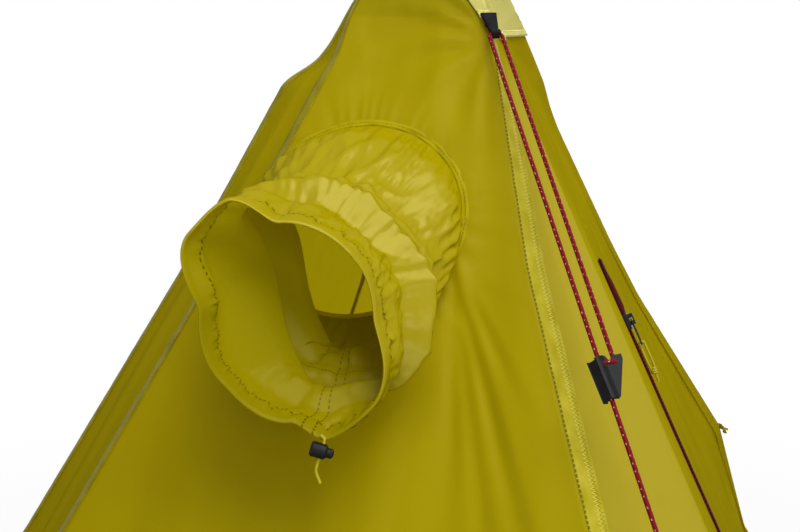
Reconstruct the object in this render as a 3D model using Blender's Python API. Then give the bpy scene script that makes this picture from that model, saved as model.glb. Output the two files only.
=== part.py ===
"""A single-wall backpacking tent: a six-hipped pyramid on one centre pole, with a snorkel vent in its end wall.

Metres, +Z up. The tent stands on z = 0 with its pole on the Z axis and its vented end wall facing -Y.
Run it with blender --background --python part.py, or from the text editor.
"""

import math

import bmesh
import bpy
from mathutils import Matrix, Vector

# The canopy's overall size
HEIGHT = 1.40
CLOTH = 0.0012
GAP = 0.0003
SEAM = 0.00018
HEM_Z = 0.0104
WALL_TOP_DEPTH = 0.020
PEAK_HALF = 0.010

# How far each hip runs out (X) and along (Y) for each metre that it drops
FRONT_ALONG = 0.750
SHOULDER_OUT = 0.577
SHOULDER_ALONG = 0.552
REAR_ALONG = 0.744
SEWN_EDGE_OUT = 0.392
SEWN_EDGE_ALONG = 0.600

# Drop below the peak and run out of the hips that aren't straight
TIE_OUT_DEPTH = 0.600
FOOT_OUT = 0.595
FRONT_RIGHT_HIP = ((0.0, 0.016), (0.104, 0.062), (0.154, 0.078), (0.250, 0.109), (HEIGHT, FOOT_OUT))
FRONT_LEFT_HIP = ((0.0, 0.016), (0.088, 0.051), (0.120, 0.055), (0.180, 0.077), (HEIGHT, FOOT_OUT))
REAR_HIP = (
    (0.0, 0.016),
    (0.200, 0.080),
    (0.330, 0.127),
    (0.400, 0.155),
    (TIE_OUT_DEPTH, 0.253),
    (0.800, 0.298),
    (HEIGHT, FOOT_OUT),
)
LEFT_SHOULDER_HIP = (
    (0.0, 0.016),
    (0.080, 0.059),
    (0.113, 0.0735),
    (0.128, 0.0845),
    (0.139, 0.1055),
    (0.175, 0.121),
    (0.280, 0.166),
    (0.460, 0.254),
    (HEIGHT, 0.800),
)

# The door and its zip, in the right side wall
DOOR_TOP_DEPTH = 0.262
ZIP_SHARE = 0.30
TAPE_WIDE = 0.011
CHAIN_WIDE = 0.0021
CHAIN_PROUD = 0.0007
ZIP_TOP_DEPTH = 0.272
SLIDER_DEPTH = 0.322
SLIDER_LONG = 0.014
SLIDER_WIDE = 0.012
SLIDER_HIGH = 0.0021
BRIDGE_WIDE = 0.003
BRIDGE_LONG = 0.009
BRIDGE_HIGH = 0.0042
WIRE = 0.0014
PULL_WIRE_LONG = 0.021
PULL_WIRE_WIDE = 0.009
PULL_CORD = 0.0018
PULL_CORD_LONG = 0.018
PULL_KNOT = 0.0052
PULL_TAIL_LONG = 0.009

# The peak
CUP_WALL = 0.002
CUP_TOP_DEPTH = 0.044
CUP_PLATE = 0.004
CUP_BOTTOM_DEPTH = 0.090
PEAK_CAP_CLOTH = 0.001
PEAK_CAP_TOP_DEPTH = 0.010
PEAK_CAP_PLATE = 0.003
PEAK_CAP_BOTTOM_DEPTH = 0.045
HOOD_CLOTH = 0.001
HOOD_HEM_DEPTH = 0.100
HOOD_WRAP = (
    (WALL_TOP_DEPTH, 0.42),
    (PEAK_CAP_BOTTOM_DEPTH, 0.28),
    (0.075, 0.13),
    (0.088, 0.06),
    (HOOD_HEM_DEPTH, 0.03),
)

# The floor, a shallow tub
FLOOR_CLOTH = 0.001
FLOOR_WALL_HIGH = 0.080

# The centre pole
UPPER_TUBE = 0.018
LOWER_TUBE = 0.0154
TUBE_WALL = 0.001
UPPER_TUBE_END_Z = 0.620
POLE_OVERLAP = 0.230
POLE_TRAVEL = 0.250
POLE_CAP = 0.026
POLE_CAP_LONG = 0.062
POLE_CAP_BORE_DEEP = 0.036
FOOT = 0.030
FOOT_HIGH = 0.026
FOOT_BORE_DEEP = 0.018
CLAMP = 0.027
CLAMP_HIGH = 0.028
CLAMP_EAR_OUT = 0.021
CLAMP_EAR_THICK = 0.003
LEVER_WIDE = 0.011
LEVER_LONG = 0.040
LEVER_THICK = 0.0045
LEVER_PIN = 0.003

# The snorkel vent
VENT_X = -0.0165
VENT_DEPTH = 0.227
VENT_HOLE = 0.141
VENT_BASE = 0.152
VENT_REACH = 0.141
VENT_DROOP = 0.0356
VENT_SIDEWAYS = -0.004
VENT_MOUTH_TURN = math.radians(20)
VENT_MOUTH_TILT = math.radians(17)
VENT_GATHERS = 9
VENT_GATHER_DEEP = 0.0016

# The hang of the snorkel's mouth, as (angle in degrees, radius) from its top left corner round by its foot
VENT_MOUTH = (
    (98, 0.061),
    (121, 0.082),
    (142, 0.079),
    (181, 0.052),
    (230, 0.053),
    (279, 0.062),
    (296, 0.077),
    (319, 0.076),
    (368, 0.056),
    (401, 0.058),
)
VENT_LOCK_ANGLE = 294
LOCK_LEAN = math.radians(12)

# The outline of the snorkel's slack middle, where the cloth rolls over, in the same form
VENT_WAIST_SHARE = 0.60
VENT_WAIST = (
    (98, 0.062),
    (120, 0.068),
    (136, 0.071),
    (180, 0.062),
    (210, 0.060),
    (250, 0.065),
    (290, 0.075),
    (313, 0.086),
    (331, 0.083),
    (356, 0.073),
    (378, 0.063),
    (401, 0.056),
    (435, 0.056),
)

# The folds along the snorkel, as (share of its length, how far the cloth lies outside its straight run)
VENT_FOLDS = ((0.0, 0.0), (0.16, 0.003), (0.42, -0.006), (0.58, 0.001), (0.70, -0.006), (0.82, 0.0), (1.0, 0.0))

# The drawcord and its lock
DRAWCORD = 0.002
DRAWCORD_TAIL_LONG = 0.014
LOCK_TRAVEL = 0.006
LOCK_HANG = 0.0022
LOCK = 0.0096
LOCK_LONG = 0.0105
LOCK_WALL = 0.0008
LOCK_CORD_FROM_RIM = 0.0035
LOCK_BORE = 0.0068
BUTTON = 0.0062
BUTTON_PROUD = 0.0042
BUTTON_BACK = 0.0006
BUTTON_TRAVEL = 0.0020
LOCK_SPRING_WIRE = 0.0005
LOCK_SPRING = 0.0042
LOCK_SPRING_TURNS = 3

# Guy lines, their tabs, tensioners and stakes
HOOD_GUY_DEPTH = 0.0875
GUY_CORD = 0.003
STRAND_APART = 0.010
TAB_WIDE = 0.011
TAB_NARROW = 0.006
TAB_THICK = 0.0022
TAB_LONG = 0.017
TAB_EYE = 0.0078
TAB_EYE_BORE = 0.0042
TAB_SEAT = 0.0014
TENSIONER_HIGH = 0.028
TENSIONER_THICK = 0.008
TENSIONER_BORE = 0.0038
TENSIONER_FROM_EYE = 0.292
TENSIONER_TRAVEL = 0.150
STAKE = 0.006
STAKE_LONG = 0.150
STAKE_HEAD = 0.0096
STAKE_HEAD_THICK = 0.003
STAKE_POINT_LONG = 0.016
STAKE_TRAVEL = 0.100
GUY_STAKE_X = 0.80
GUY_STAKE_Y = 1.326
LOOP_STRAP = 0.0015
LOOP_WIDE = 0.020
LOOP_LONG = 0.044

UP = Vector((0, 0, 1))
RIGHT, LEFT = 1, -1
FRONT, REAR = -1, 1


def clear_scene():
    for old in list(bpy.data.objects):
        bpy.data.objects.remove(old, do_unlink=True)


# Materials


def material(name, colour, roughness, metallic=0.0):
    made = bpy.data.materials.get(name)
    if made:
        return made
    made = bpy.data.materials.new(name)
    made.use_nodes = True
    shader = made.node_tree.nodes["Principled BSDF"]
    shader.inputs["Base Color"].default_value = (*colour, 1.0)
    shader.inputs["Roughness"].default_value = roughness
    shader.inputs["Metallic"].default_value = metallic
    return made


def canopy_cloth():
    return material("canopy_cloth", (0.36, 0.29, 0.005), 0.45)


def hood_cloth():
    return material("hood_cloth", (0.62, 0.56, 0.12), 0.50)


def floor_cloth():
    return material("floor_cloth", (0.05, 0.05, 0.055), 0.55)


def black_webbing():
    return material("black_webbing", (0.012, 0.012, 0.014), 0.85)


def black_plastic():
    return material("black_plastic", (0.015, 0.015, 0.017), 0.45)


def red_tape():
    return material("red_zip_tape", (0.09, 0.004, 0.008), 0.75)


def red_cord():
    return material("red_guy_cord", (0.40, 0.015, 0.025), 0.70)


def yellow_cord():
    return material("yellow_cord", (0.62, 0.53, 0.03), 0.70)


def aluminium():
    return material("aluminium", (0.60, 0.61, 0.62), 0.32, 1.0)


def steel():
    return material("steel", (0.35, 0.35, 0.36), 0.30, 1.0)


def rubber():
    return material("rubber", (0.02, 0.02, 0.02), 0.80)


# Building blocks


def add_object(name, mesh, finish, axes=None, smooth=False):
    """An object from a bmesh made in its own axes, with every face pointing out."""
    bmesh.ops.recalc_face_normals(mesh, faces=mesh.faces)
    data = bpy.data.meshes.new(name)
    mesh.to_mesh(data)
    mesh.free()
    made = bpy.data.objects.new(name, data)
    bpy.context.scene.collection.objects.link(made)
    if finish:
        data.materials.append(finish)
    for face in data.polygons:
        face.use_smooth = smooth
    if axes:
        made.matrix_world = axes
    return made


def frame_at(origin, x_axis, z_axis):
    """A frame with its Z on z_axis and its X as near x_axis as that allows."""
    z = Vector(z_axis).normalized()
    y = z.cross(Vector(x_axis)).normalized()
    x = y.cross(z)
    turned = Matrix((x, y, z)).transposed().to_4x4()
    turned.translation = Vector(origin)
    return turned


def loft(mesh, rings, close_ends=True):
    """Skins a row of closed rings that have as many points each."""
    rows = [[mesh.verts.new(point) for point in ring] for ring in rings]
    count = len(rows[0])
    for first, second in zip(rows, rows[1:]):
        for i in range(count):
            j = (i + 1) % count
            mesh.faces.new((first[i], first[j], second[j], second[i]))
    if close_ends:
        mesh.faces.new(rows[0])
        mesh.faces.new(rows[-1])
    return rows


def ring_skin(mesh, rings):
    """Skins a row of rings and then the last to the first, which makes a shell with a hole through it."""
    rows = [[mesh.verts.new(point) for point in ring] for ring in rings]
    count = len(rows[0])
    for first, second in zip(rows, rows[1:] + rows[:1]):
        for i in range(count):
            j = (i + 1) % count
            mesh.faces.new((first[i], first[j], second[j], second[i]))


def circle(radius, z=0.0, sides=24):
    step = math.tau / sides
    return [Vector((radius * math.cos(i * step), radius * math.sin(i * step), z)) for i in range(sides)]


def turned(profile, sides=24):
    """A solid of revolution about Z from (radius, z) pairs, closed by flat ends."""
    mesh = bmesh.new()
    loft(mesh, [circle(radius, z, sides) for radius, z in profile])
    return mesh


def sleeve(profile, sides=24):
    """A hollow solid of revolution about Z: its profile of (radius, z) pairs is a closed loop."""
    mesh = bmesh.new()
    ring_skin(mesh, [circle(radius, z, sides) for radius, z in profile])
    return mesh


def prism(outline, low, high):
    """A flat (x, y) outline carried from z = low to z = high."""
    mesh = bmesh.new()
    loft(mesh, [[Vector((x, y, z)) for x, y in outline] for z in (low, high)])
    return mesh


def block(x, y, z):
    """A box from three (low, high) pairs."""
    return prism([(x[0], y[0]), (x[1], y[0]), (x[1], y[1]), (x[0], y[1])], *z)


def tool(name, mesh, axes=None):
    """A Boolean's second object, which isn't part of the tent."""
    made = add_object(name, mesh, None, axes)
    made.hide_render = True
    made.display_type = "WIRE"
    return made


def combine(target, other, operation):
    step = target.modifiers.new(operation.lower(), "BOOLEAN")
    step.operation = operation
    step.solver = "EXACT"
    step.object = other
    target.data.update()


def cord(name, points, diameter, finish, sides_each=2):
    """A round cord along hand-placed points, with filled ends."""
    data = bpy.data.curves.new(name, "CURVE")
    data.dimensions = "3D"
    data.bevel_depth = diameter / 2
    data.bevel_resolution = sides_each
    data.use_fill_caps = True
    line = data.splines.new("POLY")
    line.points.add(len(points) - 1)
    for place, point in zip(line.points, points):
        place.co = (*point, 1.0)
    data.materials.append(finish)
    made = bpy.data.objects.new(name, data)
    bpy.context.scene.collection.objects.link(made)
    return made


def arc(centre, first, second, radius, start, end, steps):
    """Points on an arc in the plane of the unit vectors first and second."""
    turns = [start + (end - start) * i / steps for i in range(steps + 1)]
    return [centre + radius * (math.cos(a) * first + math.sin(a) * second) for a in turns]


# The canopy's shape


def run_out(hip, depth):
    """How far a hip that isn't straight stands out at a depth below the peak."""
    for (upper, near), (lower, far) in zip(hip, hip[1:]):
        if depth <= lower:
            return near + (far - near) * (depth - upper) / (lower - upper)
    return hip[-1][1]


def front_hip(depth, side):
    hip = FRONT_RIGHT_HIP if side == RIGHT else FRONT_LEFT_HIP
    return Vector((side * run_out(hip, depth), -(PEAK_HALF + FRONT_ALONG * depth)))


def right_shoulder_hip(depth):
    return Vector((SHOULDER_OUT * depth, -SHOULDER_ALONG * depth))


def left_shoulder_hip(depth):
    return Vector((-run_out(LEFT_SHOULDER_HIP, depth), -SHOULDER_ALONG * depth))


def sewn_edge(depth):
    """The straight line in the right side wall that the door is sewn to, and swings about."""
    return Vector((SEWN_EDGE_OUT * depth, SEWN_EDGE_ALONG * depth))


def rear_hip(depth, side):
    return Vector((side * run_out(REAR_HIP, depth), PEAK_HALF + REAR_ALONG * depth))


HIPS = ("front_right", "shoulder_right", "sewn_edge", "rear_right", "rear_left", "shoulder_left", "front_left")


def canopy_ring(depth, offset=0.0):
    """The canopy's level outline at a depth below the peak, moved out by offset, by hip name."""
    corners = [
        front_hip(depth, RIGHT),
        right_shoulder_hip(depth),
        sewn_edge(depth),
        rear_hip(depth, RIGHT),
        rear_hip(depth, LEFT),
        left_shoulder_hip(depth),
        front_hip(depth, LEFT),
    ]
    moved = {}
    for i, name in enumerate(HIPS):
        before, here, after = corners[i - 1], corners[i], corners[(i + 1) % len(corners)]
        arriving = (here - before).normalized()
        leaving = (after - here).normalized()
        out_1 = Vector((arriving.y, -arriving.x))
        out_2 = Vector((leaving.y, -leaving.x))
        moved[name] = here + (out_1 + out_2) * offset / (1 + out_1.dot(out_2))
    return moved


def at_depth(flat, depth):
    return Vector((flat.x, flat.y, HEIGHT - depth))


def line_at(origin, direction, depth):
    """The point of a straight line at a depth below the peak."""
    return origin + direction * ((HEIGHT - depth - origin.z) / direction.z)


def stations(top, bottom):
    """The depths of a wall's rows: where hips bend, and where another piece lies along the wall."""
    hips = (*FRONT_RIGHT_HIP, *FRONT_LEFT_HIP, *REAR_HIP, *LEFT_SHOULDER_HIP)
    bends = {depth for depth, _ in (*hips, *HOOD_WRAP)}
    bends |= {CUP_TOP_DEPTH, CUP_BOTTOM_DEPTH, HEIGHT - FLOOR_WALL_HIGH}
    return [top, *sorted(d for d in bends if top < d < bottom), bottom]


HEM_DEPTH = HEIGHT - HEM_Z


def split_quad(mesh, corners):
    """Two triangles, split the same way in each piece, so that a twisted wall's layers stay apart."""
    upper_left, upper_right, lower_right, lower_left = corners
    mesh.faces.new((upper_left, upper_right, lower_right))
    mesh.faces.new((upper_left, lower_right, lower_left))


def slab(outer, inner, has_cloth=lambda row, column: True):
    """Cloth between two grids of points, with a cell left open wherever has_cloth says so."""
    mesh = bmesh.new()
    rows, columns = len(outer), len(outer[0])
    made = {}

    def vertex(layer, row, column):
        if (layer, row, column) not in made:
            made[layer, row, column] = mesh.verts.new((outer, inner)[layer][row][column])
        return made[layer, row, column]

    def filled(row, column):
        return 0 <= row < rows - 1 and 0 <= column < columns - 1 and has_cloth(row, column)

    for row in range(rows - 1):
        for column in range(columns - 1):
            if not filled(row, column):
                continue
            corners = [(row, column), (row, column + 1), (row + 1, column + 1), (row + 1, column)]
            beside = [(row - 1, column), (row, column + 1), (row + 1, column), (row, column - 1)]
            for layer in (0, 1):
                split_quad(mesh, [vertex(layer, *corner) for corner in corners])
            for i, neighbour in enumerate(beside):
                if not filled(*neighbour):
                    first, second = corners[i], corners[(i + 1) % 4]
                    mesh.faces.new((vertex(0, *first), vertex(0, *second), vertex(1, *second), vertex(1, *first)))
    return mesh


def panel_rows(left, right, depths, offset, shares=(0.0, 1.0)):
    """Rows of points across a panel from one hip to the next, held clear of the seams."""
    rows = []
    for depth in depths:
        ring = canopy_ring(depth, offset)
        start, end = ring[left], ring[right]
        across = (end - start).normalized()
        start, end = start + across * SEAM, end - across * SEAM
        rows.append([at_depth(start.lerp(end, share), depth) for share in shares])
    return rows


def wall_panel(name, left, right):
    depths = stations(WALL_TOP_DEPTH, HEM_DEPTH)
    outer = panel_rows(left, right, depths, 0.0)
    inner = panel_rows(left, right, depths, -CLOTH)
    return add_object(name, slab(outer, inner), canopy_cloth())


def ring_shell(name, finish, levels):
    """A cup with the canopy's outline. A level is a depth, the depth whose outline it has, and an offset."""
    mesh = bmesh.new()
    rows = []
    for depth, outline_depth, offset in levels:
        outline = canopy_ring(outline_depth, offset)
        rows.append([mesh.verts.new(at_depth(outline[hip], depth)) for hip in HIPS])
    for (first, level_1), (second, level_2) in zip(zip(rows, levels), zip(rows[1:], levels[1:])):
        upper, lower = (first, second) if level_1[0] <= level_2[0] else (second, first)
        for i in range(len(HIPS)):
            j = (i + 1) % len(HIPS)
            split_quad(mesh, (upper[i], upper[j], lower[j], lower[i]))
    mesh.faces.new(rows[0])
    mesh.faces.new(rows[-1])
    return add_object(name, mesh, finish)


# The door's plane, and the lines on it


def door_plane():
    """Where the door lies: a point on it, and its unit vectors along the sewn edge and out of the wall."""
    upper = at_depth(sewn_edge(DOOR_TOP_DEPTH), DOOR_TOP_DEPTH)
    lower = at_depth(sewn_edge(HEM_DEPTH), HEM_DEPTH)
    ridge = at_depth(right_shoulder_hip(HEM_DEPTH), HEM_DEPTH)
    down = (lower - upper).normalized()
    out = (lower - ridge).cross(down).normalized()
    if out.x < 0:
        out.negate()
    return upper, down, out


def zip_line():
    """A point on the zip's middle line, with its unit vectors down the zip, forward across it and out."""

    def middle(depth):
        return at_depth(right_shoulder_hip(depth).lerp(sewn_edge(depth), ZIP_SHARE), depth)

    out = door_plane()[2]
    down = (middle(HEM_DEPTH) - middle(ZIP_TOP_DEPTH)).normalized()
    forward = down.cross(out).normalized()
    if forward.y > 0:
        forward.negate()
    return middle(ZIP_TOP_DEPTH), down, forward, out


def zip_axes(depth):
    """The zip's frame at a depth: X forward across the zip, Y down it, Z out of the wall."""
    origin, down, forward, out = zip_line()
    axes = Matrix((forward, down, out)).transposed().to_4x4()
    axes.translation = line_at(origin, down, depth)
    return axes


# The walls


def front_wall():
    wall = wall_panel("front_wall", "front_left", "front_right")
    hole = turned([(VENT_HOLE / 2, -0.02), (VENT_HOLE / 2, 0.02)], 40)
    combine(wall, tool("vent_hole_cutter", hole, vent_base_axes()), "DIFFERENCE")
    return wall


def door_edges(depth):
    """Across the right side wall at a depth: the frame's front edge, the leaf's two edges, the frame's rear edge."""
    origin, down, forward, _ = zip_line()
    half = TAPE_WIDE + CHAIN_WIDE / 2 + GAP
    ahead = line_at(origin + forward * half, down, depth)
    behind = line_at(origin - forward * half, down, depth)
    sewn = at_depth(sewn_edge(depth), depth)
    rearward = (sewn - behind).normalized()
    return ahead, behind, sewn - rearward * GAP / 2, sewn + rearward * GAP / 2


def thickened(point, out, amount):
    """A point moved level into the tent until it is amount deeper in the cloth."""
    level = Vector((out.x, out.y, 0))
    return point - level * (amount / level.length)


def right_door_frame():
    depths = stations(WALL_TOP_DEPTH, HEM_DEPTH)
    depths = sorted({*depths, DOOR_TOP_DEPTH})
    out = door_plane()[2]
    grids = []
    for offset in (0.0, -CLOTH):
        rows = []
        for depth in depths:
            ring = canopy_ring(depth, offset)
            front, sewn, rear = ring["shoulder_right"], ring["sewn_edge"], ring["rear_right"]
            front += (sewn - front).normalized() * SEAM
            rear += (sewn - rear).normalized() * SEAM
            if depth < DOOR_TOP_DEPTH:
                share = (door_edges(DOOR_TOP_DEPTH)[0].y + SHOULDER_ALONG * DOOR_TOP_DEPTH) / (
                    (SEWN_EDGE_ALONG + SHOULDER_ALONG) * DOOR_TOP_DEPTH
                )
                middle = [at_depth(front.lerp(sewn, share), depth), at_depth(sewn, depth)]
            else:
                ahead, _, _, behind = door_edges(depth)
                middle = [thickened(ahead, out, -offset), thickened(behind, out, -offset)]
            rows.append([at_depth(front, depth), *middle, at_depth(rear, depth)])
        grids.append(rows)
    opening = depths.index(DOOR_TOP_DEPTH)
    mesh = slab(*grids, has_cloth=lambda row, column: column != 1 or row < opening)
    return add_object("right_door_frame", mesh, canopy_cloth())


def door_panel():
    out = door_plane()[2]
    depths = (DOOR_TOP_DEPTH + GAP, HEM_DEPTH)
    outer = [list(door_edges(depth)[1:3]) for depth in depths]
    inner = [[thickened(point, out, CLOTH) for point in row] for row in outer]
    leaf = add_object("door_panel", slab(outer, inner), canopy_cloth())
    upper, down, _ = door_plane()
    set_origin(leaf, frame_at(upper, out, down))
    return leaf


def set_origin(thing, axes):
    """Moves an object's origin without moving its points."""
    thing.data.transform(axes.inverted() @ thing.matrix_world)
    thing.matrix_world = axes


def door_hood():
    """The pale hood over the head of the door. Its corners wrap round the hips to the guy tabs."""
    grids = []
    for offset in (GAP + HOOD_CLOTH, GAP):
        rows = []
        for depth in stations(WALL_TOP_DEPTH, HOOD_HEM_DEPTH):
            ring = canopy_ring(depth, offset)
            wrap = run_out(HOOD_WRAP, depth)
            front = ring["front_right"].lerp(ring["front_left"], wrap)
            rear = ring["rear_right"].lerp(ring["rear_left"], wrap)
            across = [front, *(ring[hip] for hip in HIPS[:4]), rear]
            rows.append([at_depth(point, depth) for point in across])
        grids.append(rows)
    return add_object("door_hood", slab(*grids), hood_cloth())


def canopy():
    front_wall()
    wall_panel("right_shoulder_wall", "front_right", "shoulder_right")
    right_door_frame()
    door_panel()
    wall_panel("back_wall", "rear_right", "rear_left")
    wall_panel("left_side_wall", "rear_left", "shoulder_left")
    wall_panel("left_shoulder_wall", "shoulder_left", "front_left")
    peak_cap()
    peak_cup()
    door_hood()


def peak_cap():
    """The doubled cloth cap over the tops of the walls and the hood."""
    inner = GAP + HOOD_CLOTH + GAP
    outer = inner + PEAK_CAP_CLOTH
    under = PEAK_CAP_TOP_DEPTH + PEAK_CAP_PLATE
    side = stations(WALL_TOP_DEPTH, PEAK_CAP_BOTTOM_DEPTH)
    outside = [(depth, depth, outer) for depth in (PEAK_CAP_TOP_DEPTH, *side)]
    inside = [(depth, depth, inner) for depth in (under, *side)]
    ring_shell("peak_cap", canopy_cloth(), outside + inside[::-1])


def peak_cup():
    """The stiff cup inside the peak, which takes the top of the pole."""
    outer = -CLOTH - GAP
    inner = outer - CUP_WALL
    side = stations(CUP_TOP_DEPTH, CUP_BOTTOM_DEPTH)
    outside = [(depth, depth, outer) for depth in side]
    inside = [(depth, depth, inner) for depth in (CUP_TOP_DEPTH + CUP_PLATE, *side[1:])]
    ring_shell("peak_cup", black_webbing(), outside + inside[::-1])


def bathtub_floor():
    """A tub with upright walls, whose rim is just inside the canopy and clear of the zip's teeth."""
    rim = HEIGHT - FLOOR_WALL_HIGH
    out = door_plane()[2]
    edge = -(CLOTH + CHAIN_PROUD + GAP) / Vector((out.x, out.y)).length
    levels = [
        (HEIGHT, rim, edge),
        (rim, rim, edge),
        (rim, rim, edge - FLOOR_CLOTH),
        (HEIGHT - FLOOR_CLOTH, rim, edge - FLOOR_CLOTH),
    ]
    ring_shell("bathtub_floor", floor_cloth(), levels)


# The zip


def zip_tape(name, side):
    """One half of the zip: its woven tape, flush with the cloth, and its row of teeth."""
    near = GAP / 2
    chain = near + CHAIN_WIDE
    far = near + TAPE_WIDE + CHAIN_WIDE / 2 - GAP
    outline = [
        (near, -CLOTH - CHAIN_PROUD),
        (chain, -CLOTH - CHAIN_PROUD),
        (chain, -CLOTH),
        (far, -CLOTH),
        (far, 0.0),
        (chain, 0.0),
        (chain, CHAIN_PROUD),
        (near, CHAIN_PROUD),
    ]
    axes = zip_axes(ZIP_TOP_DEPTH)
    down = zip_line()[1]
    margin = 0.005
    length = (HEM_DEPTH - ZIP_TOP_DEPTH) / -down.z - 2 * margin
    mesh = bmesh.new()
    loft(mesh, [[Vector((side * x, y, z)) for x, z in outline] for y in (margin, margin + length)])
    return add_object(name, mesh, red_tape(), axes)


def zip_slider():
    """The slider's outer half: a channel over the teeth with a bridge for the pull."""
    axes = zip_axes(SLIDER_DEPTH)
    half_long = SLIDER_LONG / 2
    foot, top = GAP, CHAIN_PROUD + GAP + SLIDER_HIGH
    body = block((-SLIDER_WIDE / 2, SLIDER_WIDE / 2), (-half_long, half_long), (foot, top))
    slider = add_object("zip_slider", body, steel(), axes)
    half_bridge = BRIDGE_LONG / 2
    bridge = block((-BRIDGE_WIDE / 2, BRIDGE_WIDE / 2), (-half_bridge, half_bridge), (top - 0.0005, top + BRIDGE_HIGH))
    combine(slider, tool("slider_bridge", bridge, axes), "UNION")
    channel_half = CHAIN_WIDE + 2 * GAP
    channel = block((-channel_half, channel_half), (-SLIDER_LONG, SLIDER_LONG), (-0.002, CHAIN_PROUD + GAP))
    combine(slider, tool("slider_channel_cutter", channel, axes), "DIFFERENCE")
    eye_half = WIRE / 2 + 2 * GAP
    eye_middle = top + BRIDGE_HIGH / 2 - GAP
    eye = block((-SLIDER_WIDE, SLIDER_WIDE), (-eye_half, eye_half), (eye_middle - eye_half, eye_middle + eye_half))
    combine(slider, tool("slider_eye_cutter", eye, axes), "DIFFERENCE")
    return slider


def pull_axes():
    """The pull's frame, on its hinge through the slider's bridge."""
    eye_middle = CHAIN_PROUD + SLIDER_HIGH + BRIDGE_HIGH / 2
    return zip_axes(SLIDER_DEPTH) @ Matrix.Translation((0, 0, eye_middle))


def zip_pull():
    axes = pull_axes()
    half, bend = PULL_WIRE_WIDE / 2, WIRE
    x, y = Vector((1, 0, 0)), Vector((0, 1, 0))
    corners = (
        (Vector((half - bend, bend, 0)), -math.pi / 2),
        (Vector((half - bend, PULL_WIRE_LONG - bend, 0)), 0.0),
        (Vector((bend - half, PULL_WIRE_LONG - bend, 0)), math.pi / 2),
        (Vector((bend - half, bend, 0)), math.pi),
    )
    points = [point for middle, start in corners for point in arc(middle, x, y, bend, start, start + math.pi / 2, 3)]
    wire = cord("zip_pull_wire", points, WIRE, steel(), 1)
    wire.data.splines[0].use_cyclic_u = True
    wire.data.use_fill_caps = False
    wire.matrix_world = axes

    bight = WIRE / 2 + GAP + PULL_CORD / 2
    turn = Vector((0, PULL_WIRE_LONG, 0))
    knot_y = PULL_WIRE_LONG + PULL_CORD_LONG
    upper = Vector((0, knot_y, bight))
    lower = Vector((0, knot_y, -bight))
    path = [lower, *arc(turn, -y, Vector((0, 0, 1)), bight, -math.pi / 2, math.pi / 2, 8), upper]
    mesh = bmesh.new()
    side = Vector((1, 0, 0))
    rings = []
    for i, point in enumerate(path):
        along = (path[min(i + 1, len(path) - 1)] - path[max(i - 1, 0)]).normalized()
        rings.append([point + PULL_CORD / 2 * p for p in unit_ring(side, along.cross(side), 8)])
    loft(mesh, rings)
    pull_cord = add_object("zip_pull_cord", mesh, yellow_cord(), axes)
    radius = PULL_KNOT / 2
    knot = [(radius * 0.55, -radius), (radius, -radius * 0.4), (radius, radius * 0.4), (radius * 0.55, radius)]
    tail = [(PULL_CORD / 2, radius * 0.5), (PULL_CORD / 2, radius + PULL_TAIL_LONG)]
    lengthways = frame_at((0, knot_y, 0), x, y)
    combine(pull_cord, tool("pull_cord_knot", turned(knot, 10), axes @ lengthways), "UNION")
    combine(pull_cord, tool("pull_cord_tail", turned(tail, 8), axes @ lengthways), "UNION")
    return wire, pull_cord


def unit_ring(first, second, sides):
    step = math.tau / sides
    return [math.cos(i * step) * first + math.sin(i * step) * second for i in range(sides)]


# The snorkel vent


def vent_base_axes():
    """The frame of the snorkel's seam: Z out of the end wall, X to the right as it is seen from outside."""
    outward = Vector((0, -1, FRONT_ALONG)).normalized()
    middle = at_depth(Vector((VENT_X, -(PEAK_HALF + FRONT_ALONG * VENT_DEPTH))), VENT_DEPTH)
    return frame_at(middle, (1, 0, 0), outward)


def vent_mouth_axes():
    """The frame of the snorkel's mouth: it is turned and tilted towards where it is seen from."""
    base = vent_base_axes()
    middle = base.translation + Vector((VENT_SIDEWAYS, -VENT_REACH, -VENT_DROOP))
    facing = Vector((math.sin(VENT_MOUTH_TURN), -math.cos(VENT_MOUTH_TURN), math.tan(VENT_MOUTH_TILT)))
    return frame_at(middle, (1, 0, 0), facing)


def eased(places, where):
    """Reads a smooth line through (place, value) pairs."""
    for (low, first), (high, second) in zip(places, places[1:]):
        if where <= high:
            share = (where - low) / (high - low)
            return first + (second - first) * share * share * (3 - 2 * share)
    return places[-1][1]


def outline_radius(outline, degrees):
    first, turn = outline[0], 360
    closed = (*outline, (first[0] + turn, first[1]))
    return eased(closed, first[0] + (degrees - first[0]) % turn)


def mouth_radius(degrees):
    return outline_radius(VENT_MOUTH, degrees)


def vent_radius(share, degrees):
    """The snorkel's radius at an angle: round at its seam, then its slack middle's outline, then its mouth's."""
    waist = outline_radius(VENT_WAIST, degrees)
    if share < VENT_WAIST_SHARE:
        return eased(((0.0, VENT_BASE / 2), (VENT_WAIST_SHARE, waist)), share)
    return eased(((VENT_WAIST_SHARE, waist), (1.0, mouth_radius(degrees))), share)


def vent_ring(share, inset, sides=32):
    """The snorkel's outline at a share of the way from its seam to its mouth, inset by the cloth's thickness."""
    base, mouth = vent_base_axes(), vent_mouth_axes()
    turn = base.to_quaternion().slerp(mouth.to_quaternion(), share)
    middle = base.translation.lerp(mouth.translation, share)
    gathers = VENT_GATHER_DEEP * 4 * share * (1 - share)
    points = []
    for i in range(sides):
        angle = math.tau * i / sides
        radius = vent_radius(share, math.degrees(angle)) + eased(VENT_FOLDS, share)
        radius += gathers * math.sin(VENT_GATHERS * angle + 5 * share) - inset
        points.append(middle + turn @ (radius * Vector((math.cos(angle), math.sin(angle), 0))))
    return points


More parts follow.
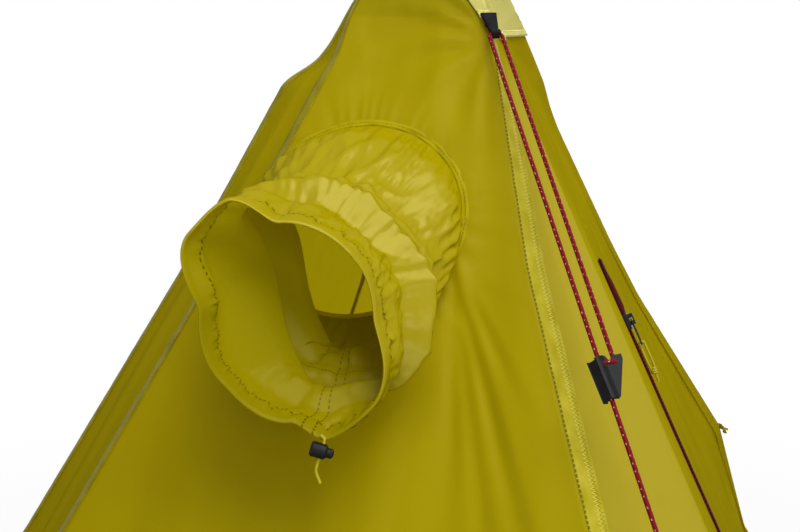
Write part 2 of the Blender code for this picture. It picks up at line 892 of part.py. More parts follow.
def snorkel_tube():
    """The snorkel: one skin of cloth with a soft roll behind its mouth, open at both ends."""
    steps = 16
    shares = [i / steps for i in range(steps + 1)]
    lifted = vent_base_axes().to_quaternion() @ UP * GAP
    outer = [vent_ring(share, 0.0) for share in shares]
    inner = [vent_ring(share, CLOTH) for share in reversed(shares)]
    mesh = bmesh.new()
    ring_skin(mesh, [[point + lifted for point in ring] for ring in (*outer, *inner)])
    return add_object("snorkel_tube", mesh, canopy_cloth(), smooth=True)


def lock_axes():
    """The cord lock's frame, under the mouth's lowest corner: X across the mouth, Z down the cord."""
    mouth = vent_mouth_axes()
    angle, radius = math.radians(VENT_LOCK_ANGLE), mouth_radius(VENT_LOCK_ANGLE)
    lowest = mouth @ Vector((radius * math.cos(angle), radius * math.sin(angle), 0))
    down = mouth.to_quaternion() @ Vector((math.sin(-LOCK_LEAN), -math.cos(LOCK_LEAN), 0))
    across = mouth.to_quaternion() @ Vector((1, 0, 0))
    return frame_at(lowest + down * (LOCK_HANG + LOCK / 2), across, down)


def cord_lock():
    """A spring lock on the drawcord: its body, its button and the spring behind the button."""
    axes = lock_axes()
    sideways = axes @ frame_at((0, 0, 0), (0, 0, 1), (1, 0, 0))
    rim = LOCK_CORD_FROM_RIM
    back = rim - LOCK_LONG
    floor = back + LOCK_WALL
    radius, edge = LOCK / 2, 0.0012
    profile = [(radius - edge, back), (radius, back + edge), (radius, rim - edge), (radius - edge, rim)]
    body = add_object("cord_lock_body", turned(profile), black_plastic(), sideways)
    bore = turned([(LOCK_BORE / 2, floor), (LOCK_BORE / 2, rim + LOCK)])
    combine(body, tool("lock_bore_cutter", bore, sideways), "DIFFERENCE")
    way = DRAWCORD / 2 + GAP
    cord_hole = turned([(way, -LOCK), (way, LOCK)], 16)
    combine(body, tool("lock_cord_cutter", cord_hole, axes), "DIFFERENCE")

    slot_low, slot_high = -way, way + BUTTON_TRAVEL
    button_start, button_end = slot_low - BUTTON_BACK, rim + BUTTON_PROUD
    profile = [(BUTTON / 2, button_start), (BUTTON / 2, button_end - edge), (BUTTON / 2 - edge, button_end)]
    button = add_object("cord_lock_button", turned(profile), black_plastic(), sideways)
    slot = block((slot_low, slot_high), (-way, way), (-LOCK, LOCK))
    combine(button, tool("button_slot_cutter", slot, axes), "DIFFERENCE")

    start = floor + GAP + LOCK_SPRING_WIRE / 2
    length = button_start - GAP - LOCK_SPRING_WIRE / 2 - start
    each = 10
    steps = LOCK_SPRING_TURNS * each
    points = []
    for i in range(steps + 1):
        angle = math.tau * i / each
        points.append(Vector((math.cos(angle), math.sin(angle), 0)) * LOCK_SPRING / 2)
        points[-1].z = start + length * i / steps
    spring = cord("cord_lock_spring", points, LOCK_SPRING_WIRE, steel(), 1)
    spring.matrix_world = sideways


def drawcord_tail():
    """The drawcord's end, from the snorkel's hem through the lock."""
    axes = lock_axes()
    top = -LOCK / 2 - LOCK_HANG + GAP
    straight = LOCK / 2 + LOCK_TRAVEL
    bottom = LOCK / 2 + DRAWCORD_TAIL_LONG
    lean = 0.005
    places = ((0.0, top), (0.0, 0.0), (0.0, straight), (lean / 2, (straight + bottom) / 2), (lean, bottom))
    points = [axes @ Vector((x, 0, z)) for x, z in places]
    return cord("drawcord_tail", points, DRAWCORD, yellow_cord())


# The centre pole


def centre_pole():
    """Two tubes with a lever lock, a cap in the peak's cup and a rubber foot on the floor."""
    cap_top = HEIGHT - CUP_TOP_DEPTH - CUP_PLATE - GAP
    cap_low = cap_top - POLE_CAP_LONG
    upper_top = cap_low + POLE_CAP_BORE_DEEP - GAP
    upper, lower = UPPER_TUBE / 2, LOWER_TUBE / 2
    bore = upper - TUBE_WALL
    tube = [(upper, UPPER_TUBE_END_Z), (upper, upper_top), (bore, upper_top), (bore, UPPER_TUBE_END_Z)]
    add_object("pole_upper_tube", sleeve(tube), aluminium(), smooth=False)

    seat = upper + GAP
    cap = POLE_CAP / 2
    edge = 0.004
    profile = [
        (seat, cap_low),
        (cap, cap_low),
        (cap, cap_top - edge),
        (cap - edge, cap_top),
        (0.0004, cap_top),
        (0.0004, cap_low + POLE_CAP_BORE_DEEP),
        (seat, cap_low + POLE_CAP_BORE_DEEP),
    ]
    add_object("pole_top_cap", capped(profile), black_plastic())

    foot_low = FLOOR_CLOTH + GAP
    lower_low = foot_low + FOOT_HIGH - FOOT_BORE_DEEP + GAP
    lower_top = UPPER_TUBE_END_Z + POLE_OVERLAP
    inner = lower - TUBE_WALL
    tube = [(lower, lower_low), (lower, lower_top), (inner, lower_top), (inner, lower_low)]
    add_object("pole_lower_tube", sleeve(tube), aluminium())
    profile = [
        (lower + GAP, foot_low + FOOT_HIGH),
        (lower + 0.003, foot_low + FOOT_HIGH),
        (FOOT / 2, foot_low + 0.008),
        (FOOT / 2 - 0.001, foot_low),
        (0.0004, foot_low),
        (0.0004, foot_low + FOOT_HIGH - FOOT_BORE_DEEP),
        (lower + GAP, foot_low + FOOT_HIGH - FOOT_BORE_DEEP),
    ]
    add_object("pole_foot", capped(profile), rubber())
    pole_clamp()


def capped(profile, sides=24):
    """A blind sleeve about Z. The profile's two points nearest the axis close the blind end as flat faces."""
    mesh = bmesh.new()
    outside = [pair for pair in profile if pair[0] > 0.001]
    split = next(i for i, pair in enumerate(profile) if pair[0] < 0.001)
    first, second = profile[:split], profile[split + 2 :]
    near, far = profile[split][1], profile[split + 1][1]
    rows = [[mesh.verts.new(point) for point in circle(radius, z, sides)] for radius, z in outside]
    for i in range(len(rows)):
        if i == len(first) - 1:
            continue
        above, below = rows[i], rows[(i + 1) % len(rows)]
        for k in range(sides):
            m = (k + 1) % sides
            mesh.faces.new((above[k], above[m], below[m], below[k]))
    mesh.faces.new(rows[len(first) - 1])
    mesh.faces.new(rows[len(outside) - len(second)])
    for vertex in rows[len(first) - 1]:
        vertex.co.z = near
    for vertex in rows[len(outside) - len(second)]:
        vertex.co.z = far
    return mesh


def clamp_pin_place():
    """The lever's pin, beside the pole."""
    return Vector((0, -(UPPER_TUBE / 2 + CLAMP_EAR_OUT - LEVER_PIN), UPPER_TUBE_END_Z + CLAMP_HIGH / 2))


def pole_clamp():
    """The lever lock at the foot of the upper tube: a collar with two ears, a pin and the lever."""
    low, high = UPPER_TUBE_END_Z, UPPER_TUBE_END_Z + CLAMP_HIGH
    seat = UPPER_TUBE / 2 + GAP
    ring = [(CLAMP / 2, low), (CLAMP / 2, high), (seat, high), (seat, low)]
    clamp = add_object("pole_clamp", sleeve(ring, 32), black_plastic())
    pin = clamp_pin_place()
    ear_in = LEVER_WIDE / 2 + GAP
    ear_out = ear_in + CLAMP_EAR_THICK
    back = -(CLAMP / 2 - 0.002)
    front = pin.y - LEVER_PIN
    for side in (RIGHT, LEFT):
        x = sorted((side * ear_in, side * ear_out))
        ear = block(x, (front, back), (pin.z - 0.006, pin.z + 0.006))
        combine(clamp, tool("clamp_ear_" + ("right" if side > 0 else "left"), ear), "UNION")
    across = frame_at(pin, (0, 0, 1), (1, 0, 0))
    hole = turned([(LEVER_PIN / 2 + GAP, -ear_out - 0.002), (LEVER_PIN / 2 + GAP, ear_out + 0.002)], 16)
    combine(clamp, tool("clamp_pin_cutter", hole, across), "DIFFERENCE")
    add_object(
        "pole_lever_pin",
        turned([(LEVER_PIN / 2, -ear_out), (LEVER_PIN / 2, ear_out)], 16),
        steel(),
        across,
    )
    knuckle = LEVER_PIN / 2 + GAP + 0.002
    outline = [
        (knuckle, 0.0),
        (knuckle * 0.7, knuckle * 0.7),
        (0.0, knuckle),
        (-knuckle * 0.7, knuckle * 0.7),
        (-knuckle, 0.0),
        (-knuckle, -LEVER_LONG + 0.004),
        (-knuckle - 0.003, -LEVER_LONG),
        (-knuckle - 0.003 + LEVER_THICK, -LEVER_LONG),
        (-knuckle + LEVER_THICK, -LEVER_LONG + 0.005),
        (0.0, -knuckle - 0.004),
        (knuckle * 0.7, -knuckle * 0.7),
    ]
    side_view = frame_at(pin, (0, 1, 0), (1, 0, 0))
    half = LEVER_WIDE / 2
    lever = add_object("pole_lever", prism(outline, -half, half), black_plastic(), side_view)
    bore = turned([(LEVER_PIN / 2 + GAP, -LEVER_WIDE), (LEVER_PIN / 2 + GAP, LEVER_WIDE)], 16)
    combine(lever, tool("lever_bore_cutter", bore, across), "DIFFERENCE")


# Guy lines, tabs, tensioners, loops and stakes


def hip_point(hip, depth, offset=0.0):
    return at_depth(canopy_ring(depth, offset)[hip], depth)


def guy_axes(hip, depth, stake_x, stake_y):
    """The frame of a tab: origin where it is sewn to the hip, Z down the pull, X level across it."""
    on_hood = depth < HOOD_HEM_DEPTH
    foot = hip_point(hip, depth, GAP + HOOD_CLOTH if on_hood else 0.0)
    out = Vector((foot.x, foot.y, 0)).normalized()
    start = foot + (out + UP * 0.5).normalized() * TAB_SEAT
    down = Vector((stake_x, stake_y, 0)) - start
    across = down.cross(UP)
    return frame_at(start, across, down)


HOOD_GUY = ("front_right", HOOD_GUY_DEPTH, GUY_STAKE_X, -GUY_STAKE_Y)
TIE_OUTS = {
    "right_rear": ("rear_right", TIE_OUT_DEPTH, GUY_STAKE_X, GUY_STAKE_Y),
    "left_rear": ("rear_left", TIE_OUT_DEPTH, -GUY_STAKE_X, GUY_STAKE_Y),
}
EYE_FROM_START = TAB_LONG + TAB_EYE / 2


def guy_tab(name, axes):
    """A webbing tab that narrows to a sewn eye."""
    wide, narrow, thick = TAB_WIDE / 2, TAB_NARROW / 2, TAB_THICK / 2
    outline = [(-wide, 0.0), (wide, 0.0), (narrow, TAB_LONG), (narrow, EYE_FROM_START)]
    outline += [(-narrow, EYE_FROM_START), (-narrow, TAB_LONG)]
    flat = axes @ Matrix.Rotation(math.pi / 2, 4, "X")
    mesh = prism([(x, z) for x, z in outline], -thick, thick)
    tab = add_object(name, mesh, black_webbing(), flat)
    across = axes @ frame_at((0, 0, EYE_FROM_START), (0, 0, 1), (1, 0, 0))
    eye = turned([(TAB_EYE / 2, -narrow), (TAB_EYE / 2, narrow)], 16)
    combine(tab, tool(name + "_eye", eye, across), "UNION")
    bore = turned([(TAB_EYE_BORE / 2, -TAB_WIDE), (TAB_EYE_BORE / 2, TAB_WIDE)], 16)
    combine(tab, tool(name + "_bore_cutter", bore, across), "DIFFERENCE")
    return tab


def eye_axes(axes):
    return axes @ Matrix.Translation((0, 0, EYE_FROM_START))


def stake_place(axes):
    """Where a guy line's running strand meets its stake, how long the strand is, and the stake's middle."""
    eye = eye_axes(axes)
    across = eye.to_quaternion() @ Vector((1, 0, 0))
    down = eye.to_quaternion() @ UP
    above = across.cross(down)
    if above.z < 0:
        above.negate()
    wrap = STAKE / 2 + GAP + GUY_CORD / 2
    rest_z = wrap + GUY_CORD / 2 + GAP
    start = eye.translation + across * STRAND_APART / 2
    length = (rest_z + wrap * above.z - start.z) / down.z
    meeting = start + down * length
    return meeting, length, meeting - above * wrap, above


def guy_line(name, axes):
    """One cord: round its stake, up through the tensioner and the tab's eye, and back to the tensioner."""
    eye = eye_axes(axes)
    across = eye.to_quaternion() @ Vector((1, 0, 0))
    down = eye.to_quaternion() @ UP
    meeting, _, stake, above = stake_place(axes)
    wrap = (meeting - stake).length
    turns, steps = 1.2, 12
    pitch = GUY_CORD + 2 * GAP
    points = []
    for i in range(int(turns * steps), 0, -1):
        angle = math.tau * i / steps
        around = wrap * (math.cos(angle) * above + math.sin(angle) * down)
        points.append(stake + around + across * pitch * i / steps)
    points += [meeting, meeting.lerp(eye.translation + across * STRAND_APART / 2, 0.5)]
    bend = STRAND_APART / 2 - 0.002
    for side, start, end in ((RIGHT, 0.0, -math.pi / 2), (LEFT, -math.pi / 2, -math.pi)):
        middle = eye.translation + across * side * 0.002 + down * bend
        points += arc(middle, across, down, bend, start, end, 4)
    points.append(eye.translation - across * STRAND_APART / 2 + down * (TENSIONER_FROM_EYE - TENSIONER_HIGH * 0.2))
    return cord(name, points, GUY_CORD, red_cord())


def tensioner(name, axes):
    """A three-cornered line runner with a bore for each strand."""
    eye = eye_axes(axes)
    strand = eye @ Matrix.Translation((STRAND_APART / 2, 0, TENSIONER_FROM_EYE))
    flat = strand @ Matrix.Rotation(math.pi / 2, 4, "X")
    half = TENSIONER_HIGH / 2
    outline = [
        (0.0042, -half),
        (0.0042, -half + 0.006),
        (0.0036, half),
        (-0.0036, half),
        (-0.0134, -half + 0.006),
        (-0.0134, -half),
        (-0.0072, -half),
        (-0.0050, -half + 0.006),
        (-0.0030, -half),
    ]
    mesh = prism(outline, -TENSIONER_THICK / 2, TENSIONER_THICK / 2)
    runner = add_object(name, mesh, black_plastic(), flat)
    for i, x in enumerate((0.0, -STRAND_APART)):
        bore = turned([(TENSIONER_BORE / 2, -TENSIONER_HIGH), (TENSIONER_BORE / 2, TENSIONER_HIGH)], 16)
        cutter = tool(f"{name}_bore_cutter_{i + 1}", bore, strand @ Matrix.Translation((x, 0, 0)))
        combine(runner, cutter, "DIFFERENCE")
    return runner


def stake(name, middle, across):
    """A round pin with a small head, lying level: it is buried crosswise, as on snow."""
    half = STAKE_LONG / 2
    radius, head = STAKE / 2, STAKE_HEAD / 2
    neck = -half + STAKE_HEAD_THICK
    profile = [(head, -half), (head, neck), (radius, neck), (radius, half - STAKE_POINT_LONG), (0.0008, half)]
    return add_object(name, turned(profile, 12), aluminium(), frame_at(middle, UP, across))


def hem_corner(hip):
    """The foot of a hip: the point, the level direction out from it and the level direction across."""
    foot = hip_point(hip, HEM_DEPTH)
    out = Vector((foot.x, foot.y, 0)).normalized()
    return foot, out, UP.cross(out)


def loop_height():
    return 2 * (LOOP_STRAP + GAP) + STAKE


def loop_axes(hip):
    """A hem loop's frame: origin in the middle of its outer end, X out, Y up, Z across."""
    foot, out, across = hem_corner(hip)
    middle = Vector((foot.x, foot.y, GAP + loop_height() / 2)) + out * (LOOP_LONG - loop_height() / 2 - 0.012)
    axes = Matrix((out, UP, out.cross(UP))).transposed().to_4x4()
    axes.translation = middle
    return axes


def hem_loop(name, hip):
    """A webbing loop under the hem, long enough to take a stake beyond the cloth."""
    axes = loop_axes(hip)
    straight = LOOP_LONG - loop_height()
    rings = []
    for radius in (loop_height() / 2, loop_height() / 2 - LOOP_STRAP):
        outline = arc(Vector((0, 0, 0)), Vector((1, 0, 0)), Vector((0, 1, 0)), radius, -math.pi / 2, math.pi / 2, 8)
        outline += arc(
            Vector((-straight, 0, 0)), Vector((1, 0, 0)), Vector((0, 1, 0)), radius, math.pi / 2, 3 * math.pi / 2, 8
        )
        rings.append(outline)
    mesh = bmesh.new()
    half = LOOP_WIDE / 2
    layers = [(0, -half), (0, half), (1, half), (1, -half)]
    ring_skin(mesh, [[point + Vector((0, 0, z)) for point in rings[k]] for k, z in layers])
    return add_object(name, mesh, black_webbing(), axes)


def hem_loops_and_stakes():
    for hip in HIPS:
        if hip == "sewn_edge":
            continue
        hem_loop("hem_loop_" + hip, hip)
        axes = loop_axes(hip)
        across = axes.to_quaternion() @ UP
        slack = Vector((loop_height() / 2 - LOOP_STRAP - GAP - STAKE / 2, 0, 0))
        stake("hem_stake_" + hip, axes @ slack, across)


def guying():
    """The hood's guy line with its tab, tensioner and stake, and the bare tie-out tabs half way up."""
    axes = guy_axes(*HOOD_GUY)
    guy_tab("hood_guy_tab", axes)
    guy_line("guy_line", axes)
    tensioner("line_tensioner", axes)
    across = axes.to_quaternion() @ Vector((1, 0, 0))
    stake("guy_stake", stake_place(axes)[2], across)
    for name, place in TIE_OUTS.items():
        guy_tab("tie_out_" + name, guy_axes(*place))


def build():
    clear_scene()
    canopy()
    bathtub_floor()
    zip_tape("zip_tape_frame", 1)
    zip_tape("zip_tape_door", -1)
    zip_slider()
    zip_pull()
    snorkel_tube()
    cord_lock()
    drawcord_tail()
    centre_pole()
    guying()
    hem_loops_and_stakes()


build()
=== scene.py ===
"""The looks of a single-wall backpacking tent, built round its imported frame.

Metres, +Z up. The tent stands on z = 0 with its pole on the Z axis. Its vented end wall faces -Y and
its door is on +X.
"""

import math

import bpy
import numpy as np
from mathutils import Matrix, Vector, noise


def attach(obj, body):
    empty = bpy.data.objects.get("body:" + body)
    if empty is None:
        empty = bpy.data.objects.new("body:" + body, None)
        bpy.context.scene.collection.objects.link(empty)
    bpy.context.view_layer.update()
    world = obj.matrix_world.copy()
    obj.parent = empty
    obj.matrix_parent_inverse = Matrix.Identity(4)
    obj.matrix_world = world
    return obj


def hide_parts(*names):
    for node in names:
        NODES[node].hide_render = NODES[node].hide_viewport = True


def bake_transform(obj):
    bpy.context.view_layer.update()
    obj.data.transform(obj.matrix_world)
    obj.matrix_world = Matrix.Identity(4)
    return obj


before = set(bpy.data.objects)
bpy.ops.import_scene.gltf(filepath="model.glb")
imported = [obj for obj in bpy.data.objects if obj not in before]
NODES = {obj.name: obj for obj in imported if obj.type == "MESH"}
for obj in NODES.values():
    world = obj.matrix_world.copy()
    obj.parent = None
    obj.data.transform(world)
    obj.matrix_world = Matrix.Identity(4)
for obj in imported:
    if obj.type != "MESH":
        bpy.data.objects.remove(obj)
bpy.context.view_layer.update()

# The canopy's overall size, as the solids have it
HEIGHT = 1.40
HEM_Z = 0.0104
WALL_TOP_DEPTH = 0.020
PEAK_HALF = 0.010
FRONT_ALONG = 0.750
SHOULDER_OUT = 0.577
SHOULDER_ALONG = 0.552
REAR_ALONG = 0.744
SEWN_EDGE_OUT = 0.392
SEWN_EDGE_ALONG = 0.600
TIE_OUT_DEPTH = 0.600
FOOT_OUT = 0.595
# Each hip's depths below the peak, and how far it stands out at each
FRONT_RIGHT_HIP = ((0.0, 0.016), (0.104, 0.062), (0.154, 0.078), (0.250, 0.109), (HEIGHT, FOOT_OUT))
FRONT_LEFT_HIP = ((0.0, 0.016), (0.088, 0.051), (0.120, 0.055), (0.180, 0.077), (HEIGHT, FOOT_OUT))
REAR_HIP = (
    (0.0, 0.016), (0.045, 0.0304), (0.100, 0.0540), (0.155, 0.0710), (0.178, 0.0745), (0.200, 0.080),
    (0.330, 0.127), (0.400, 0.155), (TIE_OUT_DEPTH, 0.253), (0.800, 0.298), (HEIGHT, FOOT_OUT),
)
LEFT_SHOULDER_HIP = (
    (0.0, 0.016), (0.080, 0.059), (0.113, 0.0735), (0.128, 0.0845), (0.139, 0.1055),
    (0.175, 0.121), (0.280, 0.166), (0.460, 0.254), (HEIGHT, 0.800),
)
HEM_DEPTH = HEIGHT - HEM_Z
DOOR_TOP_DEPTH = 0.262
ZIP_SHARE = 0.30
TAPE_WIDE = 0.011
CHAIN_WIDE = 0.0021
ZIP_TOP_DEPTH = 0.272
SLIDER_DEPTH = 0.322
HOOD_HEM_DEPTH = 0.100
HOOD_WRAP = ((WALL_TOP_DEPTH, 0.42), (0.045, 0.28), (0.075, 0.13), (0.088, 0.06), (HOOD_HEM_DEPTH, 0.03))
HOOD_HEM_LOW = 0.112
HOOD_CORNER_LOW = 0.090
CAP_TOP_DEPTH = 0.010
CAP_BOTTOM_DEPTH = 0.045
FLOOR_WALL_HIGH = 0.080

# The snorkel vent, as the solids have it
VENT_X = -0.0165
VENT_DEPTH = 0.227
VENT_HOLE = 0.141
VENT_BASE = 0.152
VENT_REACH = 0.141
VENT_DROOP = 0.0356
VENT_SIDEWAYS = -0.004
VENT_MOUTH_TURN = math.radians(20)
VENT_MOUTH_TILT = math.radians(17)
# The snorkel's outline at its mouth and at its middle: degrees round it, and its radius there
VENT_MOUTH = (
    (98, 0.061), (121, 0.082), (142, 0.079), (181, 0.052), (230, 0.053),
    (279, 0.062), (296, 0.077), (319, 0.076), (368, 0.056), (401, 0.058),
)
VENT_WAIST_SHARE = 0.60
VENT_WAIST = (
    (98, 0.062), (120, 0.068), (136, 0.071), (180, 0.062), (210, 0.060), (250, 0.065), (290, 0.075),
    (313, 0.086), (331, 0.083), (356, 0.073), (378, 0.063), (401, 0.056), (435, 0.056),
)
# Shares of the snorkel's length, and how far its whole surface stands out or its left side falls in
VENT_FOLDS = (
    (0.0, 0.0), (0.16, 0.003), (0.42, -0.006), (0.58, 0.001), (0.70, -0.006), (0.82, 0.0), (1.0, 0.0),
)
VENT_SLACK_FROM = 0.090
VENT_SLACK = (
    (0.0, 0.0), (0.10, 0.014), (0.30, 0.070), (0.40, 0.071),
    (0.53, 0.054), (0.60, 0.069), (0.95, 0.036), (1.0, 0.030),
)
RIM_SHARE = 0.985
RIM_ROUND = 0.015
HEM_HALF = 0.0013
VENT_LOCK_ANGLE = 294
VENT_SEAM_ANGLE = 287
CASING_SHARE = 0.915
LOCK_LEAN = math.radians(12)
LOCK = 0.0096
LOCK_HANG = 0.0022
LOCK_TRAVEL = 0.006
LOCK_TAIL_LONG = 0.014
DRAWCORD = 0.002
SPRING_FROM = -0.00565
SPRING_TO = -0.00245
SPRING_WIRE = 0.0005
SPRING_WIDE = 0.0042
SPRING_TURNS = 3

# The guy line, webbing and zip pull, as the solids have them
GAP = 0.0003
HOOD_GUY_DEPTH = 0.0875
GUY_CORD = 0.003
GUY_STAKE = Vector((0.80, -1.326))
STRAND_APART = 0.010
TENSIONER_FROM_EYE = 0.292
TENSIONER_HIGH = 0.028
TENSIONER_THICK = 0.008
TAB_WIDE = 0.011
TAB_NARROW = 0.006
TAB_LONG = 0.017
TAB_SEAT = 0.0014
TAB_EYE = 0.0078
TAB_EYE_BORE = 0.0042
EYE_FROM_START = TAB_LONG + TAB_EYE / 2
STAKE = 0.006
LOOP_STRAP = 0.0015
LOOP_WIDE = 0.020
LOOP_LONG = 0.044
SEWN_IN = 0.012
PULL_WIRE = 0.0014
PULL_WIRE_LONG = 0.021
PULL_CORD = 0.0018
PULL_CORD_LONG = 0.018
PULL_TAIL_LONG = 0.009
PULL_HINGE_HIGH = 0.0049

UP = Vector((0, 0, 1))
HOOD_PULL = Vector((0.066, -0.088, HEIGHT - 0.104))


def axes_at(origin, x, y, z):
    """A frame from its origin and its three unit vectors."""
    made = Matrix((x, y, z)).transposed().to_4x4()
    made.translation = origin
    return made


def level_part(point):
    """A point's level offset from the pole."""
    return Vector((point.x, point.y, 0))


def noise_at(x, y, z):
    return noise.noise(Vector((x, y, z)))


# Camera, light and floor


def camera():
    """The photograph's camera: 800 by 532, close to the tent's upper end and a little below its peak."""
    data = bpy.data.cameras.new("camera")
    made = bpy.data.objects.new("camera", data)
    bpy.context.scene.collection.objects.link(made)
    forward = Vector((-0.2490, 0.9377, -0.2424)).normalized()
    right = forward.cross(UP).normalized()
    place = Vector((0.2273, -0.977, HEIGHT - 0.0536))
    made.matrix_world = axes_at(place, right, right.cross(forward), -forward)
    data.sensor_width = 36
    data.lens = 53.68
    data.clip_start = 0.02
    bpy.context.scene.camera = made


def lamp(name, place, target, size, power):
    data = bpy.data.lights.new(name, "AREA")
    data.size = size
    data.energy = power
    made = bpy.data.objects.new(name, data)
    made.location = place
    made.rotation_euler = (Vector(target) - Vector(place)).to_track_quat("-Z", "Y").to_euler()
    bpy.context.scene.collection.objects.link(made)


def studio():
    scene = bpy.context.scene
    scene.view_settings.view_transform = "Standard"
    scene.world = bpy.data.worlds.new("studio")
    sky = Tree(scene.world)
    shader = sky.nodes["Background"]
    shader.inputs["Color"].default_value = (0.93, 0.96, 1.0, 1)
    shader.inputs["Strength"].default_value = 0.22
    sky.fill(sky.nodes["World Output"].inputs["Surface"], sky.shown_white(shader))

    lamp("key_light", (0.9, -0.8, 3.8), (0.0, -0.2, 1.0), 2.2, 82)
    lamp("right_light", (2.0, -2.8, 1.9), (0, -0.2, 1.0), 1.4, 30)
    lamp("back_light", (-0.6, 3.2, 2.6), (0, 0, 0.9), 2.4, 2)

    bpy.ops.mesh.primitive_plane_add(size=14)
    floor = bpy.context.object
    floor.name = "studio_floor"
    floor.location.z = -0.0004
    material = bpy.data.materials.new("studio_floor")
    pale = Tree(material)
    shader = pale.nodes["Principled BSDF"]
    shader.inputs["Base Color"].default_value = (0.86, 0.86, 0.86, 1)
    shader.inputs["Roughness"].default_value = 0.9
    place = pale.node("TexCoord").outputs["Object"]
    away = pale.node("VectorMath")
    away.operation = "LENGTH"
    pale.fill(away.inputs[0], place)
    whiter = pale.node("MapRange", From_Min=1.6, From_Max=2.6, To_Min=0.92, To_Max=1.0)
    pale.fill(whiter.inputs["Value"], away.outputs["Value"])
    seen = pale.shown_white(shader, whiter.outputs["Result"])
    pale.fill(pale.nodes["Material Output"].inputs["Surface"], seen)
    floor.data.materials.append(material)


# The canopy's shape


def run_out(hip, depth):
    """How far a hip stands out at a depth below the peak, with its bends softened."""
    places = np.array(hip)
    near = np.linspace(-0.006, 0.006, 5)
    return float(np.interp(depth + near, places[:, 0], places[:, 1]).mean())


def corners(depth):
    """The canopy's level corners at a depth below the peak, in the order of the names below."""
    front = -(PEAK_HALF + FRONT_ALONG * depth)
    rear = PEAK_HALF + REAR_ALONG * depth
    return [
        Vector((run_out(FRONT_RIGHT_HIP, depth), front)),
        Vector((SHOULDER_OUT * depth, -SHOULDER_ALONG * depth)),
        Vector((SEWN_EDGE_OUT * depth, SEWN_EDGE_ALONG * depth)),
        Vector((run_out(REAR_HIP, depth), rear)),
        Vector((-run_out(REAR_HIP, depth), rear)),
        Vector((-run_out(LEFT_SHOULDER_HIP, depth), -SHOULDER_ALONG * depth)),
        Vector((-run_out(FRONT_LEFT_HIP, depth), front)),
    ]


FRONT_RIGHT, SHOULDER_RIGHT, SEWN_EDGE, REAR_RIGHT, REAR_LEFT, SHOULDER_LEFT, FRONT_LEFT = range(7)
HEM_CORNERS = {
    "front_right": FRONT_RIGHT, "shoulder_right": SHOULDER_RIGHT, "rear_right": REAR_RIGHT,
    "rear_left": REAR_LEFT, "shoulder_left": SHOULDER_LEFT, "front_left": FRONT_LEFT,
}


def at_depth(flat, depth):
    return Vector((flat.x, flat.y, HEIGHT - depth))


def moved_out(flat_points, offset):
    """A level outline moved out sideways by offset."""
    moved = []
    for i, here in enumerate(flat_points):
        arriving = (here - flat_points[i - 1]).normalized()
        leaving = (flat_points[(i + 1) % len(flat_points)] - here).normalized()
        out_1 = Vector((arriving.y, -arriving.x))
        out_2 = Vector((leaving.y, -leaving.x))
        moved.append(here + (out_1 + out_2) * offset / (1 + out_1.dot(out_2)))
    return moved


def zip_line():
    """The zip's line: a point on it, and its directions down, forward across it and out of the wall."""

    def middle(depth):
        ring = corners(depth)
        return at_depth(ring[SHOULDER_RIGHT].lerp(ring[SEWN_EDGE], ZIP_SHARE), depth)

    upper, lower = middle(ZIP_TOP_DEPTH), middle(HEM_DEPTH)
    down = (lower - upper).normalized()
    ring = corners(HEM_DEPTH)
    level = (ring[SHOULDER_RIGHT] - ring[SEWN_EDGE]).to_3d().normalized()
    out = down.cross(level).normalized()
    if out.x < 0:
        out.negate()
    forward = down.cross(out).normalized()
    if forward.y > 0:
        forward.negate()
    return upper, down, forward, out


def on_line(origin, direction, depth):
    return origin + direction * ((HEIGHT - depth - origin.z) / direction.z)


# Reading smooth lines


def eased(places, where):
    for (low, first), (high, second) in zip(places, places[1:]):
        if where <= high:
            share = max(0.0, (where - low) / (high - low))
            return first + (second - first) * share * share * (3 - 2 * share)
    return places[-1][1]


def steps_between(low, high, count):
    """Even steps from low to high, both of them among the steps."""
    return [low + (high - low) * k / (count - 1) for k in range(count)]


def smooth_step(low, high, value):
    share = min(1.0, max(0.0, (value - low) / (high - low)))
    return share * share * (3 - 2 * share)


# Materials


class Tree:
    """A node tree, with helpers that add its nodes."""

    def __init__(self, owner):
        owner.use_nodes = True
        self.nodes, self.links = owner.node_tree.nodes, owner.node_tree.links

    def fill(self, socket, value):
        """Gives a socket a plain value, or what another node puts out."""
        if isinstance(value, bpy.types.NodeSocket):
            self.links.new(value, socket)
        else:
            socket.default_value = value

    def node(self, kind, **values):
        made = self.nodes.new("ShaderNode" + kind)
        for name, value in values.items():
            self.fill(made.inputs[name.replace("_", " ")], value)
        return made

    def math(self, operation, first, second=None):
        made = self.node("Math")
        made.operation = operation
        self.fill(made.inputs[0], first)
        if second is not None:
            self.fill(made.inputs[1], second)
        return made.outputs[0]

    def mix_shaders(self, share, first, second):
        made = self.node("MixShader")
        for socket, value in zip(made.inputs, (share, first, second)):
            self.fill(socket, value)
        return made.outputs[0]

    def shown_white(self, shader, share=1.0):
        """Mixes a shader with plain white for what the camera, a gloss or a glass sees."""
        path = self.node("LightPath")
        seen = 0.0
        for ray in ("Is Camera Ray", "Is Glossy Ray", "Is Transmission Ray"):
            seen = self.math("MAXIMUM", path.outputs[ray], seen)
        kind = "Background" if shader.type == "BACKGROUND" else "Emission"
        white = self.node(kind, Strength=1.0, Color=(1, 1, 1, 1))
        return self.mix_shaders(self.math("MULTIPLY", seen, share), shader.outputs[0], white.outputs[0])


